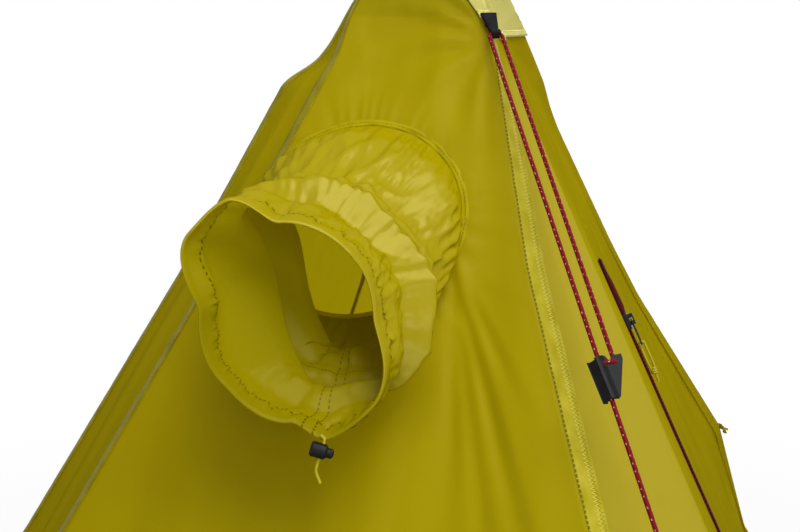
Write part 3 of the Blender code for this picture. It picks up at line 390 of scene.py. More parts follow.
class Recipe(Tree):
    """A procedural material."""

    def __init__(self, name, **values):
        self.material = bpy.data.materials.new(name)
        super().__init__(self.material)
        self.shader = self.nodes["Principled BSDF"]
        for socket, value in values.items():
            self.fill(self.shader.inputs[socket.replace("_", " ")], value)
        coordinates = self.node("TexCoord")
        self.place, self.uv = coordinates.outputs["Object"], coordinates.outputs["UV"]
        self.height = None

    def split(self, source):
        made = self.node("SeparateXYZ")
        self.fill(made.inputs[0], source)
        return [made.outputs[axis] for axis in "XYZ"]

    def clamped(self, value):
        return self.math("MAXIMUM", self.math("MINIMUM", value, 1.0), 0.0)

    def highest(self, values):
        """1 where any of the values is 1."""
        whole = values[0]
        for value in values[1:]:
            whole = self.math("MAXIMUM", whole, value)
        return whole

    def noise(self, scale, detail=2.0, stretch=(1, 1, 1), rough=0.5):
        mapping = self.node("Mapping", Scale=stretch, Vector=self.place)
        made = self.node("TexNoise", Scale=scale, Detail=detail, Roughness=rough)
        self.fill(made.inputs["Vector"], mapping.outputs["Vector"])
        return made.outputs["Fac"]

    def wave(self, scale, axis):
        made = self.node("TexWave", Scale=scale, Vector=self.place)
        made.bands_direction = axis
        return made.outputs["Fac"]

    def ramp(self, source, low, dark, high, light):
        made = self.node("ValToRGB", Fac=source)
        for element, place, colour in zip(made.color_ramp.elements, (low, high), (dark, light)):
            element.position = place
            element.color = (*colour, 1)
        return made.outputs["Color"]

    def between(self, source, low, high):
        return self.node("MapRange", To_Min=low, To_Max=high, Value=source).outputs["Result"]

    def mixed(self, share, first, second):
        made = self.node("Mix")
        made.data_type = "RGBA"
        self.fill(made.inputs["Factor"], share)
        sockets = [socket for socket in made.inputs if socket.type == "RGBA"]
        for socket, value in zip(sockets, (first, second)):
            self.fill(socket, (*value, 1) if isinstance(value, tuple) else value)
        return next(socket for socket in made.outputs if socket.type == "RGBA")

    def bump(self, height, strength, distance):
        made = self.node("Bump", Strength=strength, Distance=distance, Height=height)
        if self.height is not None:
            self.fill(made.inputs["Normal"], self.height)
        self.height = made.outputs["Normal"]

    def finish(self, colour, source, low, high):
        """Gives the shader its colour, its bumps and a roughness from low to high by its source."""
        self.rough = self.between(source, low, high)
        for name, value in (("Base Color", colour), ("Roughness", self.rough), ("Normal", self.height)):
            self.fill(self.shader.inputs[name], value)
        return self.material


COAT = (1.0, 0.90, 0.35, 1)


def scaled(colour, share, plus=0.0):
    return tuple(channel * share + plus for channel in colour)


def thin_cloth(
    name, dark, light, through, share, crease=0.35, gloss=0.36, shine=0.012, marks=None, panel=None
):
    """Coated nylon that some of the light comes through, with a fine weave, soft creases and stitches. Where
    given, it has painted light on the canopy's front right panel and painted shade on the snorkel's shaded
    side.
    """
    made = Recipe(name, Specular_IOR_Level=0.0)
    colour = made.ramp(made.noise(5.0, 3.0), 0.30, dark, 0.70, light)
    # Painted light: where a panel colour is given, the front right panel is painted in it, lighter than the
    # cloth, as if more light fell there.
    if panel:
        colour = made.mixed(front_right_painted_light(made), colour, panel)
    made.bump(made.noise(26.0, 4.0, stretch=(1.0, 1.0, 0.45), rough=0.55), crease, 0.0016)
    made.bump(made.math("MULTIPLY", made.wave(420.0, "X"), made.wave(420.0, "Z")), 0.10, 0.0002)
    coat_share = shine
    if marks:
        crumples = made.noise(62.0, 2.0, stretch=(1.0, 0.6, 1.0))
        made.bump(made.math("ABSOLUTE", made.math("SUBTRACT", crumples, 0.5)), 0.28, -0.0016)
        # Painted shade: the snorkel's left side and underside get a darker colour and a weaker coat shine,
        # as if they hung in shade.
        shaded = painted_shade_mask(made)
        colour = made.mixed(shaded, colour, scaled(light, 0.64))
        stitches = marks(made)
        colour = made.mixed(stitches, colour, scaled(dark, 0.26))
        made.bump(stitches, 0.7, -0.0008)
        coat_share = made.between(shaded, shine, shine * 0.25)
    made.finish(colour, made.noise(60.0, 2.0), gloss - 0.06, gloss + 0.08)
    coat = made.node("BsdfAnisotropic", Color=COAT, Roughness=made.rough, Normal=made.height)
    coated = made.mix_shaders(coat_share, made.shader.outputs[0], coat.outputs[0])
    see_through = made.node("BsdfTranslucent", Color=(*through, 1), Normal=made.height)
    mix = made.mix_shaders(share, coated, see_through.outputs[0])
    made.fill(made.nodes["Material Output"].inputs["Surface"], mix)
    return made.material


# The front right hip's line as a slope below the peak and a start, above its bend and below it
SEEN_HIP = ((0.320, 0.0290), (0.4226, 0.0034))
SHOULDER_TURN = -0.755


def front_right_painted_light(made):
    """1 on the panel between the front right hip and the right shoulder, which is painted lighter as painted
    light.
    """
    x, y, z = made.split(made.place)
    turn = made.math("ARCTAN2", y, x)
    depth = made.math("SUBTRACT", HEIGHT, z)
    hip = made.highest([made.math("ADD", made.math("MULTIPLY", depth, slope), at) for slope, at in SEEN_HIP])
    past_hip = made.math("MULTIPLY", made.math("SUBTRACT", x, hip), 200.0)
    before_shoulder = made.math("MULTIPLY", made.math("SUBTRACT", SHOULDER_TURN, turn), 50.0)
    return made.clamped(made.math("MINIMUM", past_hip, before_shoulder))


def dashes(made, across, along, row, half, step, filled=0.66):
    """A row of stitches: 1 on its dashes and 0 off them."""
    near = made.math("LESS_THAN", made.math("ABSOLUTE", made.math("SUBTRACT", across, row)), half)
    dash = made.math("LESS_THAN", made.math("FRACT", made.math("DIVIDE", along, step)), filled)
    return made.math("MULTIPLY", near, dash)


def painted_shade_mask(made):
    """1 on the snorkel's left side and its underside, read from its UV map, where painted shade darkens the
    colour and dims the coat.
    """
    turn = made.split(made.uv)[0]
    near = made.math("SUBTRACT", 0.30, made.math("ABSOLUTE", made.math("SUBTRACT", turn, 0.67)))
    return made.clamped(made.math("MULTIPLY", near, 9.0))


def snorkel_stitches(made):
    """The drawcord's casing, the seam in the snorkel's middle and the doubled seam along its foot."""
    turn, share, _ = made.split(made.uv)
    rows = [
        dashes(made, share, turn, CASING_SHARE, 0.0035, 0.0078, 0.5),
        dashes(made, share, turn, 0.505, 0.0018, 0.0056, 0.70),
    ]
    inner = made.math("GREATER_THAN", share, 0.30)
    for side in (-0.0062, 0.0062):
        seam = dashes(made, turn, share, VENT_SEAM_ANGLE / 360 + side, 0.0009, 0.022, 0.55)
        rows.append(made.math("MULTIPLY", seam, inner))
    return made.highest(rows)


def stitched_seam(name, dark, light, thread, rows=(0.2, 0.8), lace=None):
    """A felled seam's cloth with rows of dark stitches, and pale lace where it is given, from its UV map."""
    made = Recipe(name, Specular_IOR_Level=0.05)
    across, along, _ = made.split(made.uv)
    stitches = made.highest([dashes(made, across, along, row, 0.03, 0.0033) for row in rows])
    puckers = made.noise(70.0, 2.0)
    colour = made.mixed(stitches, made.ramp(puckers, 0.30, dark, 0.68, light), thread)
    if lace:
        swing = made.math("MULTIPLY", made.math("PINGPONG", along, 0.0014), 150.0)
        swung = made.math("ADD", across, swing)
        shade = dashes(made, swung, along, lace + 0.19, 0.05, 0.0009, 0.6)
        colour = made.mixed(shade, colour, scaled(dark, 0.55))
        pale = dashes(made, swung, along, lace + 0.10, 0.06, 0.0028, 0.85)
        colour = made.mixed(pale, colour, scaled(light, 1.12, 0.03))
        made.bump(pale, 0.8, 0.0006)
    made.bump(puckers, 0.4, 0.0010)
    made.bump(stitches, 0.8, -0.0005)
    return made.finish(colour, made.noise(140.0), 0.40, 0.60)


def webbing(name, colour):
    made = Recipe(name, Specular_IOR_Level=0.15)
    ribs = made.math("ADD", made.wave(260.0, "DIAGONAL"), made.wave(310.0, "Z"))
    shade = made.ramp(made.noise(300.0), 0.3, scaled(colour, 0.7), 0.7, scaled(colour, 1.6))
    made.bump(ribs, 0.5, 0.0005)
    return made.finish(shade, made.noise(200.0), 0.70, 0.92)


def moulded(name, colour, rough=0.42):
    made = Recipe(name, Specular_IOR_Level=0.14)
    shade = made.ramp(made.noise(120.0, 3.0), 0.35, colour, 0.75, scaled(colour, 1.5, 0.004))
    made.bump(made.noise(900.0, 2.0), 0.25, 0.0003)
    return made.finish(shade, made.noise(70.0), rough - 0.08, rough + 0.12)


def metal(name, colour, rough):
    made = Recipe(name, Metallic=1.0)
    lines = made.noise(400.0, 2.0, stretch=(1, 1, 0.03))
    shade = made.ramp(lines, 0.3, scaled(colour, 0.82), 0.7, colour)
    made.bump(lines, 0.12, 0.0002)
    return made.finish(shade, lines, rough - 0.07, rough + 0.10)


def braid(name, dark, light, fleck=None):
    """A braided cord's sleeve, read along its own UV map, with pale flecks where it is reflective."""
    made = Recipe(name, Specular_IOR_Level=0.12)
    along, around, _ = made.split(made.uv)
    strands = [made.math(operation, along, around) for operation in ("ADD", "SUBTRACT")]
    one, two = (made.math("PINGPONG", made.math("MULTIPLY", strand, 8.0), 0.5) for strand in strands)
    plaits = made.math("MULTIPLY", one, two)
    colour = made.ramp(plaits, 0.02, dark, 0.20, light)
    if fleck:
        drift = made.math("MULTIPLY", made.noise(70.0, 1.0), 0.9)
        run = made.math("ADD", made.math("ADD", along, made.math("MULTIPLY", around, 0.4)), drift)
        spot = made.math("LESS_THAN", made.math("FRACT", made.math("DIVIDE", run, 0.62)), 0.15)
        side = made.math("LESS_THAN", made.math("FRACT", made.math("MULTIPLY", around, 4.0)), 0.26)
        colour = made.mixed(made.math("MULTIPLY", spot, side), colour, fleck)
    made.bump(plaits, 0.7, 0.0005)
    return made.finish(colour, made.noise(300.0), 0.55, 0.80)


def zip_teeth(name, dark, light):
    made = Recipe(name, Specular_IOR_Level=0.12)
    along = made.split(made.uv)[1]
    teeth = made.math("PINGPONG", made.math("MULTIPLY", along, 650.0), 1.0)
    colour = made.ramp(teeth, 0.15, dark, 0.85, light)
    made.bump(teeth, 0.6, 0.0006)
    return made.finish(colour, made.noise(250.0), 0.45, 0.65)


def woven_tape(name, dark, light):
    made = Recipe(name, Specular_IOR_Level=0.15)
    weave = made.math("MULTIPLY", made.wave(330.0, "X"), made.wave(500.0, "Z"))
    colour = made.ramp(made.noise(180.0, 3.0), 0.3, dark, 0.7, light)
    made.bump(weave, 0.35, 0.0003)
    return made.finish(colour, made.noise(90.0), 0.62, 0.82)


# The dark and light parts of each cloth's colour, and what shines through it
OLIVE = (0.345, 0.272, 0.0010)
YELLOW = (0.43, 0.348, 0.0015)
NYLON = (OLIVE, YELLOW, (0.86, 0.71, 0.006))
PALE_NYLON = ((0.66, 0.62, 0.18), (0.84, 0.79, 0.30), (0.95, 0.88, 0.30))
GREY_NYLON = ((0.045, 0.047, 0.052), (0.07, 0.072, 0.078), (0.05, 0.05, 0.05))
# The dark and light parts of each seam's colour, and its thread
THREAD = (0.12, 0.095, 0.003)
LACED_SEAM = ((0.40, 0.33, 0.008), (0.54, 0.455, 0.035), (0.19, 0.15, 0.005))
PALE_SEAM = ((0.62, 0.57, 0.16), (0.80, 0.75, 0.28), (0.34, 0.29, 0.08))
DARK_SEAM = ((0.25, 0.20, 0.003), (0.36, 0.30, 0.008), THREAD)
HEM_SEAM = ((0.33, 0.27, 0.004), (0.44, 0.37, 0.012), THREAD)


def finishes():
    return {
        # The canopy's front right panel is painted lighter: painted light.
        "canopy": thin_cloth("canopy_cloth", *NYLON, 0.25, panel=(0.450, 0.368, 0.026)),
        "door": thin_cloth("door_cloth", *NYLON, 0.25),
        # The snorkel's marks also bring painted shade to its left side and underside.
        "snorkel": thin_cloth("snorkel_cloth", *NYLON, 0.12, 0.6, 0.22, 0.035, snorkel_stitches),
        "hood": thin_cloth("hood_cloth", *PALE_NYLON, 0.30),
        "floor": thin_cloth("floor_cloth", *GREY_NYLON, 0.05),
        "seam": stitched_seam("seam_cloth", *LACED_SEAM, (0.03,), 0.68),
        "hood_hem": stitched_seam("hood_hem_cloth", *PALE_SEAM),
        "dark_seam": stitched_seam("dark_seam_cloth", *DARK_SEAM, (0.08, 0.85)),
        "foot_seam": stitched_seam("foot_seam_cloth", OLIVE, YELLOW, THREAD, (0.55,)),
        "hem": stitched_seam("hem_cloth", *HEM_SEAM, (0.15, 0.85)),
        "webbing": webbing("black_webbing", (0.006, 0.006, 0.0075)),
        "olive_webbing": webbing("olive_webbing", (0.34, 0.27, 0.008)),
        "plastic": moulded("black_plastic", (0.004, 0.004, 0.005)),
        "tape": woven_tape("red_zip_tape", (0.030, 0.001, 0.002), (0.095, 0.002, 0.005)),
        "teeth": zip_teeth("red_zip_teeth", (0.035, 0.001, 0.002), (0.10, 0.002, 0.005)),
        "guy": braid("red_guy_cord", (0.10, 0.001, 0.003), (0.46, 0.012, 0.018), (0.60, 0.42, 0.41)),
        "yellow": braid("yellow_cord", (0.40, 0.33, 0.01), (0.72, 0.62, 0.04)),
        "aluminium": metal("aluminium", (0.68, 0.69, 0.70), 0.30),
        "steel": metal("steel", (0.22, 0.22, 0.23), 0.32),
        "black_metal": metal("black_metal", (0.035, 0.035, 0.038), 0.34),
        "rubber": moulded("rubber", (0.018, 0.018, 0.018), 0.75),
    }


# Mesh helpers


def settle(piece, body, slot, *nodes):
    """Rides a piece on its body, in the place of the solids it stands for, which it hides. Its slot is not
    used.
    """
    if nodes:
        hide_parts(*nodes)
    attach(piece, body)


def add_mesh(name, points, faces, finish, uvs=None, smooth=True, wrap=False):
    """A mesh object. Where its UV map wraps round in U, the face that closes it ends at 1."""
    data = bpy.data.meshes.new(name)
    data.from_pydata([tuple(p) for p in points], [], faces)
    if uvs is not None:
        layer = data.uv_layers.new(name="UVMap")
        for face in data.polygons:
            places = [uvs[i] for i in face.vertices]
            last = max(u for u, _ in places)
            for k, (u, v) in zip(face.loop_indices, places):
                layer.data[k].uv = (u + 1 if wrap and last - u > 0.5 else u, v)
    for face in data.polygons:
        face.use_smooth = smooth
    data.materials.append(finish)
    data.update()
    made = bpy.data.objects.new(name, data)
    bpy.context.scene.collection.objects.link(made)
    return made


def grid_faces(rows, columns, closed=False, keep=None):
    faces = []
    for r in range(rows - 1):
        here, below = r * columns, (r + 1) * columns
        for c in range(columns if closed else columns - 1):
            d = (c + 1) % columns
            if keep is None or keep(r, c):
                faces.append((here + c, here + d, below + d, below + c))
    return faces


def grid_normals(points):
    """Outward normals of a grid of points, as an array like it."""
    normals = np.cross(np.gradient(points, axis=0), np.gradient(points, axis=1))
    normals /= np.maximum(np.linalg.norm(normals, axis=2, keepdims=True), 1e-9)
    outward = points * np.array([1.0, 1.0, 0.0])
    flip = np.sign((normals * outward).sum(axis=2, keepdims=True))
    flip[flip == 0] = 1
    return normals * flip


def lifted(grid, lift):
    """Moves a grid's points along its outward normals by lift(row, column). Gives the normals."""
    normals = grid_normals(grid)
    for r, c in np.ndindex(*grid.shape[:2]):
        grid[r, c] += normals[r, c] * lift(r, c)
    return normals


def grid_sheet(name, grid, finish, closed=False, keep=None):
    """A cloth over a grid of points, and its area."""
    points = grid.reshape(-1, 3)
    faces = grid_faces(*grid.shape[:2], closed, keep)
    area = 0.0
    for face in faces:
        a, b, c, d = (Vector(points[i]) for i in face)
        area += (c - a).cross(d - b).length / 2
    return add_mesh(name, points, faces, finish), area


RIBBON_SECTION = (
    (-0.5, -0.15), (-0.47, 0.75), (-0.25, 1.0), (0.0, 0.9), (0.25, 1.0), (0.47, 0.75), (0.5, -0.15),
)


def ribbon(name, line, across, out, width, thick, finish, pucker=0.0, seed=0.0):
    """A strip of doubled cloth along a line, thickest at its middle and meeting what it lies on."""
    points, uvs = [], []
    run = 0.0
    for i, place in enumerate(line):
        if i:
            run += (place - line[i - 1]).length
        for side, rise in RIBBON_SECTION:
            wobble = pucker * noise_at(run * 95.0, side * 2.5, seed) * max(0.0, rise)
            sway = pucker * 0.7 * noise_at(run * 60.0, 7.0 + seed, 0.0) * abs(side) * 2
            points.append(place + across[i] * (side * width + sway) + out[i] * (rise * thick + wobble))
            uvs.append((side + 0.5, run))
    return add_mesh(name, points, grid_faces(len(line), len(RIBBON_SECTION)), finish, uvs)


def tube(name, line, radius, finish, sides=12, swell=None):
    """A round cord along a line, that may swell. Its UV map runs along it in turns of its own girth."""
    line = [Vector(p) for p in line]
    girth = math.tau * radius
    tangent = (line[1] - line[0]).normalized()
    side = tangent.orthogonal().normalized()
    points, uvs = [], []
    run = 0.0
    for i, place in enumerate(line):
        if i:
            run += (place - line[i - 1]).length
        ahead = line[min(i + 1, len(line) - 1)] - line[max(i - 1, 0)]
        tangent = ahead.normalized()
        side = (side - tangent * side.dot(tangent)).normalized()
        other = tangent.cross(side)
        wide = radius * (eased(swell, i / (len(line) - 1)) if swell else 1)
        for k in range(sides + 1):
            angle = math.tau * k / sides
            points.append(place + wide * (math.cos(angle) * side + math.sin(angle) * other))
            uvs.append((run / girth, k / sides))
    faces = grid_faces(len(line), sides + 1)
    faces.append(tuple(range(sides)))
    faces.append(tuple((len(line) - 1) * (sides + 1) + k for k in reversed(range(sides))))
    return add_mesh(name, points, faces, finish, uvs)


def smooth_line(points, count):
    """Points at even steps on a smooth curve through a few."""
    points = [Vector(p) for p in points]
    ends = [points[0] * 2 - points[1], *points, points[-1] * 2 - points[-2]]
    curve = []
    for i in range(len(points) - 1):
        a, b, c, d = ends[i : i + 4]
        bend, twist = 2 * a - 5 * b + 4 * c - d, 3 * b - a - 3 * c + d
        for k in range(16):
            t = k / 16
            curve.append(0.5 * (2 * b + (c - a) * t + bend * t**2 + twist * t**3))
    curve.append(points[-1])
    lengths = [0.0]
    for first, second in zip(curve, curve[1:]):
        lengths.append(lengths[-1] + (second - first).length)
    line = []
    for want in steps_between(0, lengths[-1], count):
        k = min(max(int(np.searchsorted(lengths, want)), 1), len(curve) - 1)
        share = (want - lengths[k - 1]) / max(lengths[k] - lengths[k - 1], 1e-9)
        line.append(curve[k - 1].lerp(curve[k], share))
    return line


# The snorkel vent


def frame_at(origin, x_axis, z_axis):
    z = Vector(z_axis).normalized()
    y = z.cross(Vector(x_axis)).normalized()
    return axes_at(Vector(origin), y.cross(z), y, z)


def vent_base_axes():
    outward = Vector((0, -1, FRONT_ALONG)).normalized()
    front = -(PEAK_HALF + FRONT_ALONG * VENT_DEPTH)
    return frame_at((VENT_X, front, HEIGHT - VENT_DEPTH), (1, 0, 0), outward)


def vent_mouth_axes():
    middle = vent_base_axes().translation + Vector((VENT_SIDEWAYS, -VENT_REACH, -VENT_DROOP))
    facing = (math.sin(VENT_MOUTH_TURN), -math.cos(VENT_MOUTH_TURN), math.tan(VENT_MOUTH_TILT))
    return frame_at(middle, (1, 0, 0), facing)


def outline_radius(outline, degrees):
    first, turn = outline[0], 360
    closed = (*outline, (first[0] + turn, first[1]))
    return eased(closed, first[0] + (degrees - first[0]) % turn)


def vent_radius(share, degrees):
    """The snorkel's radius at an angle, from its round seam through its slack middle to its mouth."""
    waist = outline_radius(VENT_WAIST, degrees)
    if share < VENT_WAIST_SHARE:
        return eased(((0.0, VENT_BASE / 2), (VENT_WAIST_SHARE, waist)), share)
    return eased(((VENT_WAIST_SHARE, waist), (1.0, outline_radius(VENT_MOUTH, degrees))), share)


def vent_point(share, angle, lift):
    """The snorkel's cloth at a share of its length and an angle, lifted off its plain surface."""
    base, mouth = vent_base_axes(), vent_mouth_axes()
    turn = base.to_quaternion().slerp(mouth.to_quaternion(), min(1.0, share))
    middle = base.translation.lerp(mouth.translation, share)
    radius = vent_radius(share, math.degrees(angle)) + eased(VENT_FOLDS, share) + lift
    x, y = radius * math.cos(angle), radius * math.sin(angle)
    return middle + turn @ Vector((max_softly(x, slack_side(share, y)), y, 0))


def slack_side(share, y):
    """How far left the cloth reaches at a height in its section, as its slack left side falls in."""
    fallen = eased(VENT_SLACK, share)
    lower = 1 + 80 * min(y, 0.0) ** 2
    return -VENT_SLACK_FROM + fallen * lower - 0.75 * max_softly(y, 0.0, 0.010)


def max_softly(first, second, width=0.005):
    return second + width * math.log1p(math.exp((first - second) / width))


def crest(place):
    """Noise with sharp crests, as crumpled coated cloth has."""
    return 0.45 - 1.6 * abs(noise.noise(place))


def vent_wrinkle(share, angle):
    """How far the gathered cloth stands off its plain surface."""
    around = Vector((math.cos(angle), math.sin(angle), 0))
    degrees = math.degrees(angle) % 360
    along = min(1.0, share)
    middle = math.sin(math.pi * along)
    calm = 1 - 0.72 * bell(degrees, 215, 85) * smooth_step(0.40, 0.55, along)
    pleats = crest(around * 9.0 + Vector((0, 0, share * 1.5))) * 0.0040
    pleats *= smooth_step(0.008, 0.04, along) * (1 - smooth_step(0.14, 0.36, along))
    lumps = noise.noise(around * 2.2 + Vector((5, 1, share * 3.0))) * 0.0044 * middle
    creases = crest(around * 3.2 + Vector((share * 3.0, 2 - share * 2.0, share * 5.0))) * 0.0054 * middle
    crumples = crest(around * 7.5 + Vector((share * 3.0, 4, share * 6.0))) * 0.0023
    crumples += crest(around * 12.0 + Vector((6, share * 5.0, share * 13.0))) * 0.0010
    crumples *= smooth_step(0.02, 0.2, along) * (1 - smooth_step(0.90, 0.97, along))
    gathered = 0.0029 + 0.0022 * bell(degrees, VENT_LOCK_ANGLE, 28)
    gathered *= bell(along, CASING_SHARE, 0.032)
    puckers = noise.noise(around * 24.0 + Vector((3, 0, share * 2.0))) * gathered
    wave = 0.8 + 0.35 * noise.noise(around * 1.3 + Vector((9, 9, 0)))
    roll = 0.0070 * bell(along, 0.600, 0.020) + 0.0034 * bell(along, 0.465, 0.020)
    roll -= 0.0036 * bell(along, 0.530, 0.022) + 0.0054 * bell(along, 0.675, 0.028)
    flare = 0.0080 * bell(along, 0.90, 0.06) * bell(degrees, 168, 42)
    return pleats + (lumps + creases + crumples) * calm + puckers + roll * wave * calm - flare


def bell(value, middle, half):
    return math.exp(-(((value - middle) / half) ** 2))


def snorkel(looks):
    """One skin from its seam to its mouth, turned over a drawcord at the rim and back inside as a hem."""
    sides = 264
    rows = []
    for share in steps_between(0.0, RIM_SHARE, 130):
        rows.append((share, HEM_HALF * smooth_step(CASING_SHARE, CASING_SHARE + 0.03, share)))
    for step in range(1, 8):
        turn = math.pi * step / 8
        rows.append((RIM_SHARE + RIM_ROUND * math.sin(turn), HEM_HALF * math.cos(turn)))
    rows += [(share, -HEM_HALF) for share in steps_between(RIM_SHARE, CASING_SHARE - 0.006, 14)]
    points, uvs = [], []
    for share, puff in rows:
        for k in range(sides):
            angle = math.tau * k / sides
            points.append(vent_point(share, angle, vent_wrinkle(share, angle) + puff - 0.0004))
            uvs.append((k / sides, share))
    faces = grid_faces(len(rows), sides, closed=True)
    piece = add_mesh("snorkel_cloth", points, faces, looks["snorkel"], uvs, wrap=True)
    settle(piece, "canopy", "canopy_cloth", "snorkel_tube")

    base = vent_base_axes()
    turned = base.to_quaternion()
    line, across = [], []
    for k in range(181):
        angle = math.tau * k / 180
        spoke = Vector((math.cos(angle), math.sin(angle), 0))
        line.append(base @ (spoke * (VENT_BASE / 2 + 0.0024)))
        across.append(turned @ spoke)
    out = [turned @ UP] * len(line)
    seam = ribbon("snorkel_base_seam", line, across, out, 0.0050, 0.0003, looks["foot_seam"], 0.0011, 2.0)
    settle(seam, "canopy", "canopy_cloth")


# The canopy's sheets


def row_depths(top, bottom):
    """Rows that lie close together near the peak, where the cloth is seen from near by."""
    fine = np.arange(top, min(bottom, 0.52), 0.0038)
    coarse = np.arange(fine[-1] + 0.009, bottom - 0.004, 0.014) if bottom > 0.53 else []
    return [*fine, *coarse, bottom]


def from_vent(point):
    """A point of the end wall as its flat offset from the middle of the vent's seam."""
    base = vent_base_axes()
    out = base.to_quaternion() @ UP
    away = point - base.translation
    return away - out * away.dot(out)


# The end wall's long folds: degrees from upright, depth and length of each
PULL_FOLDS = ((21, 0.0019, 0.30), (14, 0.0016, 0.34), (8, 0.0012, 0.26), (32, 0.0008, 0.16))
FOLDS_RIGHT = 0.072
FOLDS_BELOW = 0.026


def pull_folds(away):
    """The folds that run down the end wall from the snorkel's right foot, at an offset from its middle."""
    right = away.x - FOLDS_RIGHT
    above = math.copysign(math.hypot(away.y, away.z), away.z) + FOLDS_BELOW
    height = 0.0
    for degrees, deep, long in PULL_FOLDS:
        lean = math.radians(degrees)
        along = right * math.sin(lean) - above * math.cos(lean)
        across = right * math.cos(lean) + above * math.sin(lean)
        half = 0.0028 + 0.022 * max(0.0, along)
        fold = 0.7 * bell(across, 1.5 * half, 1.2 * half) - bell(across, 0.0, half)
        height += deep * fold * smooth_step(0.0, 0.03, along) * (1 - smooth_step(0.35, 1.0, along / long))
    return height


def tab_pulls(point, edge):
    """The pulls that fan out over the cloth from the hood's guy tab."""
    away = point - HOOD_PULL
    angle = math.atan2(-away.z, away.x + away.y * 0.4)
    fade = math.exp(-away.length / 0.13) * smooth_step(0.004, 0.03, away.length)
    fade *= smooth_step(0.004, 0.025, edge)
    return 0.0022 * math.sin(angle * 13.0 + 2.0 * noise.noise(away * 14.0)) * fade


def vent_pulls(away, near):
    """The puckers and pulls in the end wall round the snorkel's seam, near outside it."""
    rays = away.normalized() if away.length > 0.001 else UP
    beside_seam = math.exp(-abs(near - 0.008) / 0.012)
    puckers = 0.0016 * crest(rays * 9.0) * beside_seam * smooth_step(0.0, 0.006, near)
    pulls = 0.0013 * crest(rays * 4.0) * math.exp(-abs(near) / 0.06) * smooth_step(0.004, 0.04, near)
    return puckers + pulls + pull_folds(away)


def wall_relief(point, wall, share, depth, width):
    """How far the cloth lies off the flat of its wall: its sag, its folds, its pulls and its puckers."""
    held = math.sin(math.pi * share)
    sag = -0.010 * held * min(1.0, width / 0.5) * math.sin(math.pi * min(1.0, depth / HEIGHT)) ** 0.7
    soft = 0.0030 * noise_at(point.x * 4.0, point.y * 4.0, point.z * 2.0)
    sideways = (share - 0.5) * width
    folds = 0.0050 * noise_at(sideways * 17.0, depth * 2.0, wall * 5.0 + 1.3)
    folds += 0.0016 * noise_at(sideways * 48.0, depth * 1.5, wall * 3.0)
    edge = min(share, 1 - share) * width
    relief = (sag + soft + folds) * smooth_step(0.002, 0.050, edge)
    if wall in (FRONT_RIGHT_WALL, END_WALL) and (point - HOOD_PULL).length < 0.45:
        relief += tab_pulls(point, edge)
    if wall == END_WALL and abs(depth - VENT_DEPTH) < 0.30:
        away = from_vent(point)
        near = away.length - VENT_BASE / 2
        relief = relief * smooth_step(0.004, 0.05, near) + vent_pulls(away, near)
    free = smooth_step(0.085, 0.16, depth) * smooth_step(0.02, 0.12, HEIGHT - FLOOR_WALL_HIGH - depth)
    return max(relief, -0.0008) * (1 - free) + relief * free


# Each wall's left and right edge and its number of columns
CANOPY_WALLS = (
    (FRONT_RIGHT, SHOULDER_RIGHT, 34),
    (SHOULDER_RIGHT, "zip", 30),
    ("zip", SEWN_EDGE, 60),
    (SEWN_EDGE, REAR_RIGHT, 16),
    (REAR_RIGHT, REAR_LEFT, 60),
    (REAR_LEFT, SHOULDER_LEFT, 90),
    (SHOULDER_LEFT, FRONT_LEFT, 34),
    (FRONT_LEFT, FRONT_RIGHT, 110),
)
FRONT_RIGHT_WALL, DOOR_WALL, END_WALL = 0, 2, 7


def door_edges(depth):
    upper, down, forward, _ = zip_line()
    half = TAPE_WIDE + CHAIN_WIDE / 2 + 0.0003
    return [on_line(upper + forward * half * side, down, depth) for side in (1, -1)]


def canopy_row(depth, offset):
    """One level row right round the canopy: each point with its wall, its share across it and its width."""
    ring = moved_out(corners(depth), offset)
    door_depth = max(depth, DOOR_TOP_DEPTH)
    zip_front = door_edges(door_depth)[0].to_2d()
    ring_there = corners(door_depth)
    span = ring_there[SEWN_EDGE] - ring_there[SHOULDER_RIGHT]
    share_of_zip = (zip_front - ring_there[SHOULDER_RIGHT]).dot(span) / span.length_squared
    places = {"zip": ring[SHOULDER_RIGHT].lerp(ring[SEWN_EDGE], share_of_zip)}
    row = []
    for wall, (left, right, count) in enumerate(CANOPY_WALLS):
        start = places.get(left) or ring[left]
        end = places.get(right) or ring[right]
        for k in range(count):
            share = k / count
            row.append((at_depth(start.lerp(end, share), depth), wall, share, (end - start).length))
    return row


def relieved(rows, depths, back=0.0):
    """A grid of points with relief, from rows of points with their wall, share across it and its width."""
    grid = np.array([[tuple(cell[0]) for cell in row] for row in rows])

    def lift(r, c):
        point, wall, share, width = rows[r][c]
        return wall_relief(point, wall, share, depths[r], width) - back

    lifted(grid, lift)
    return grid


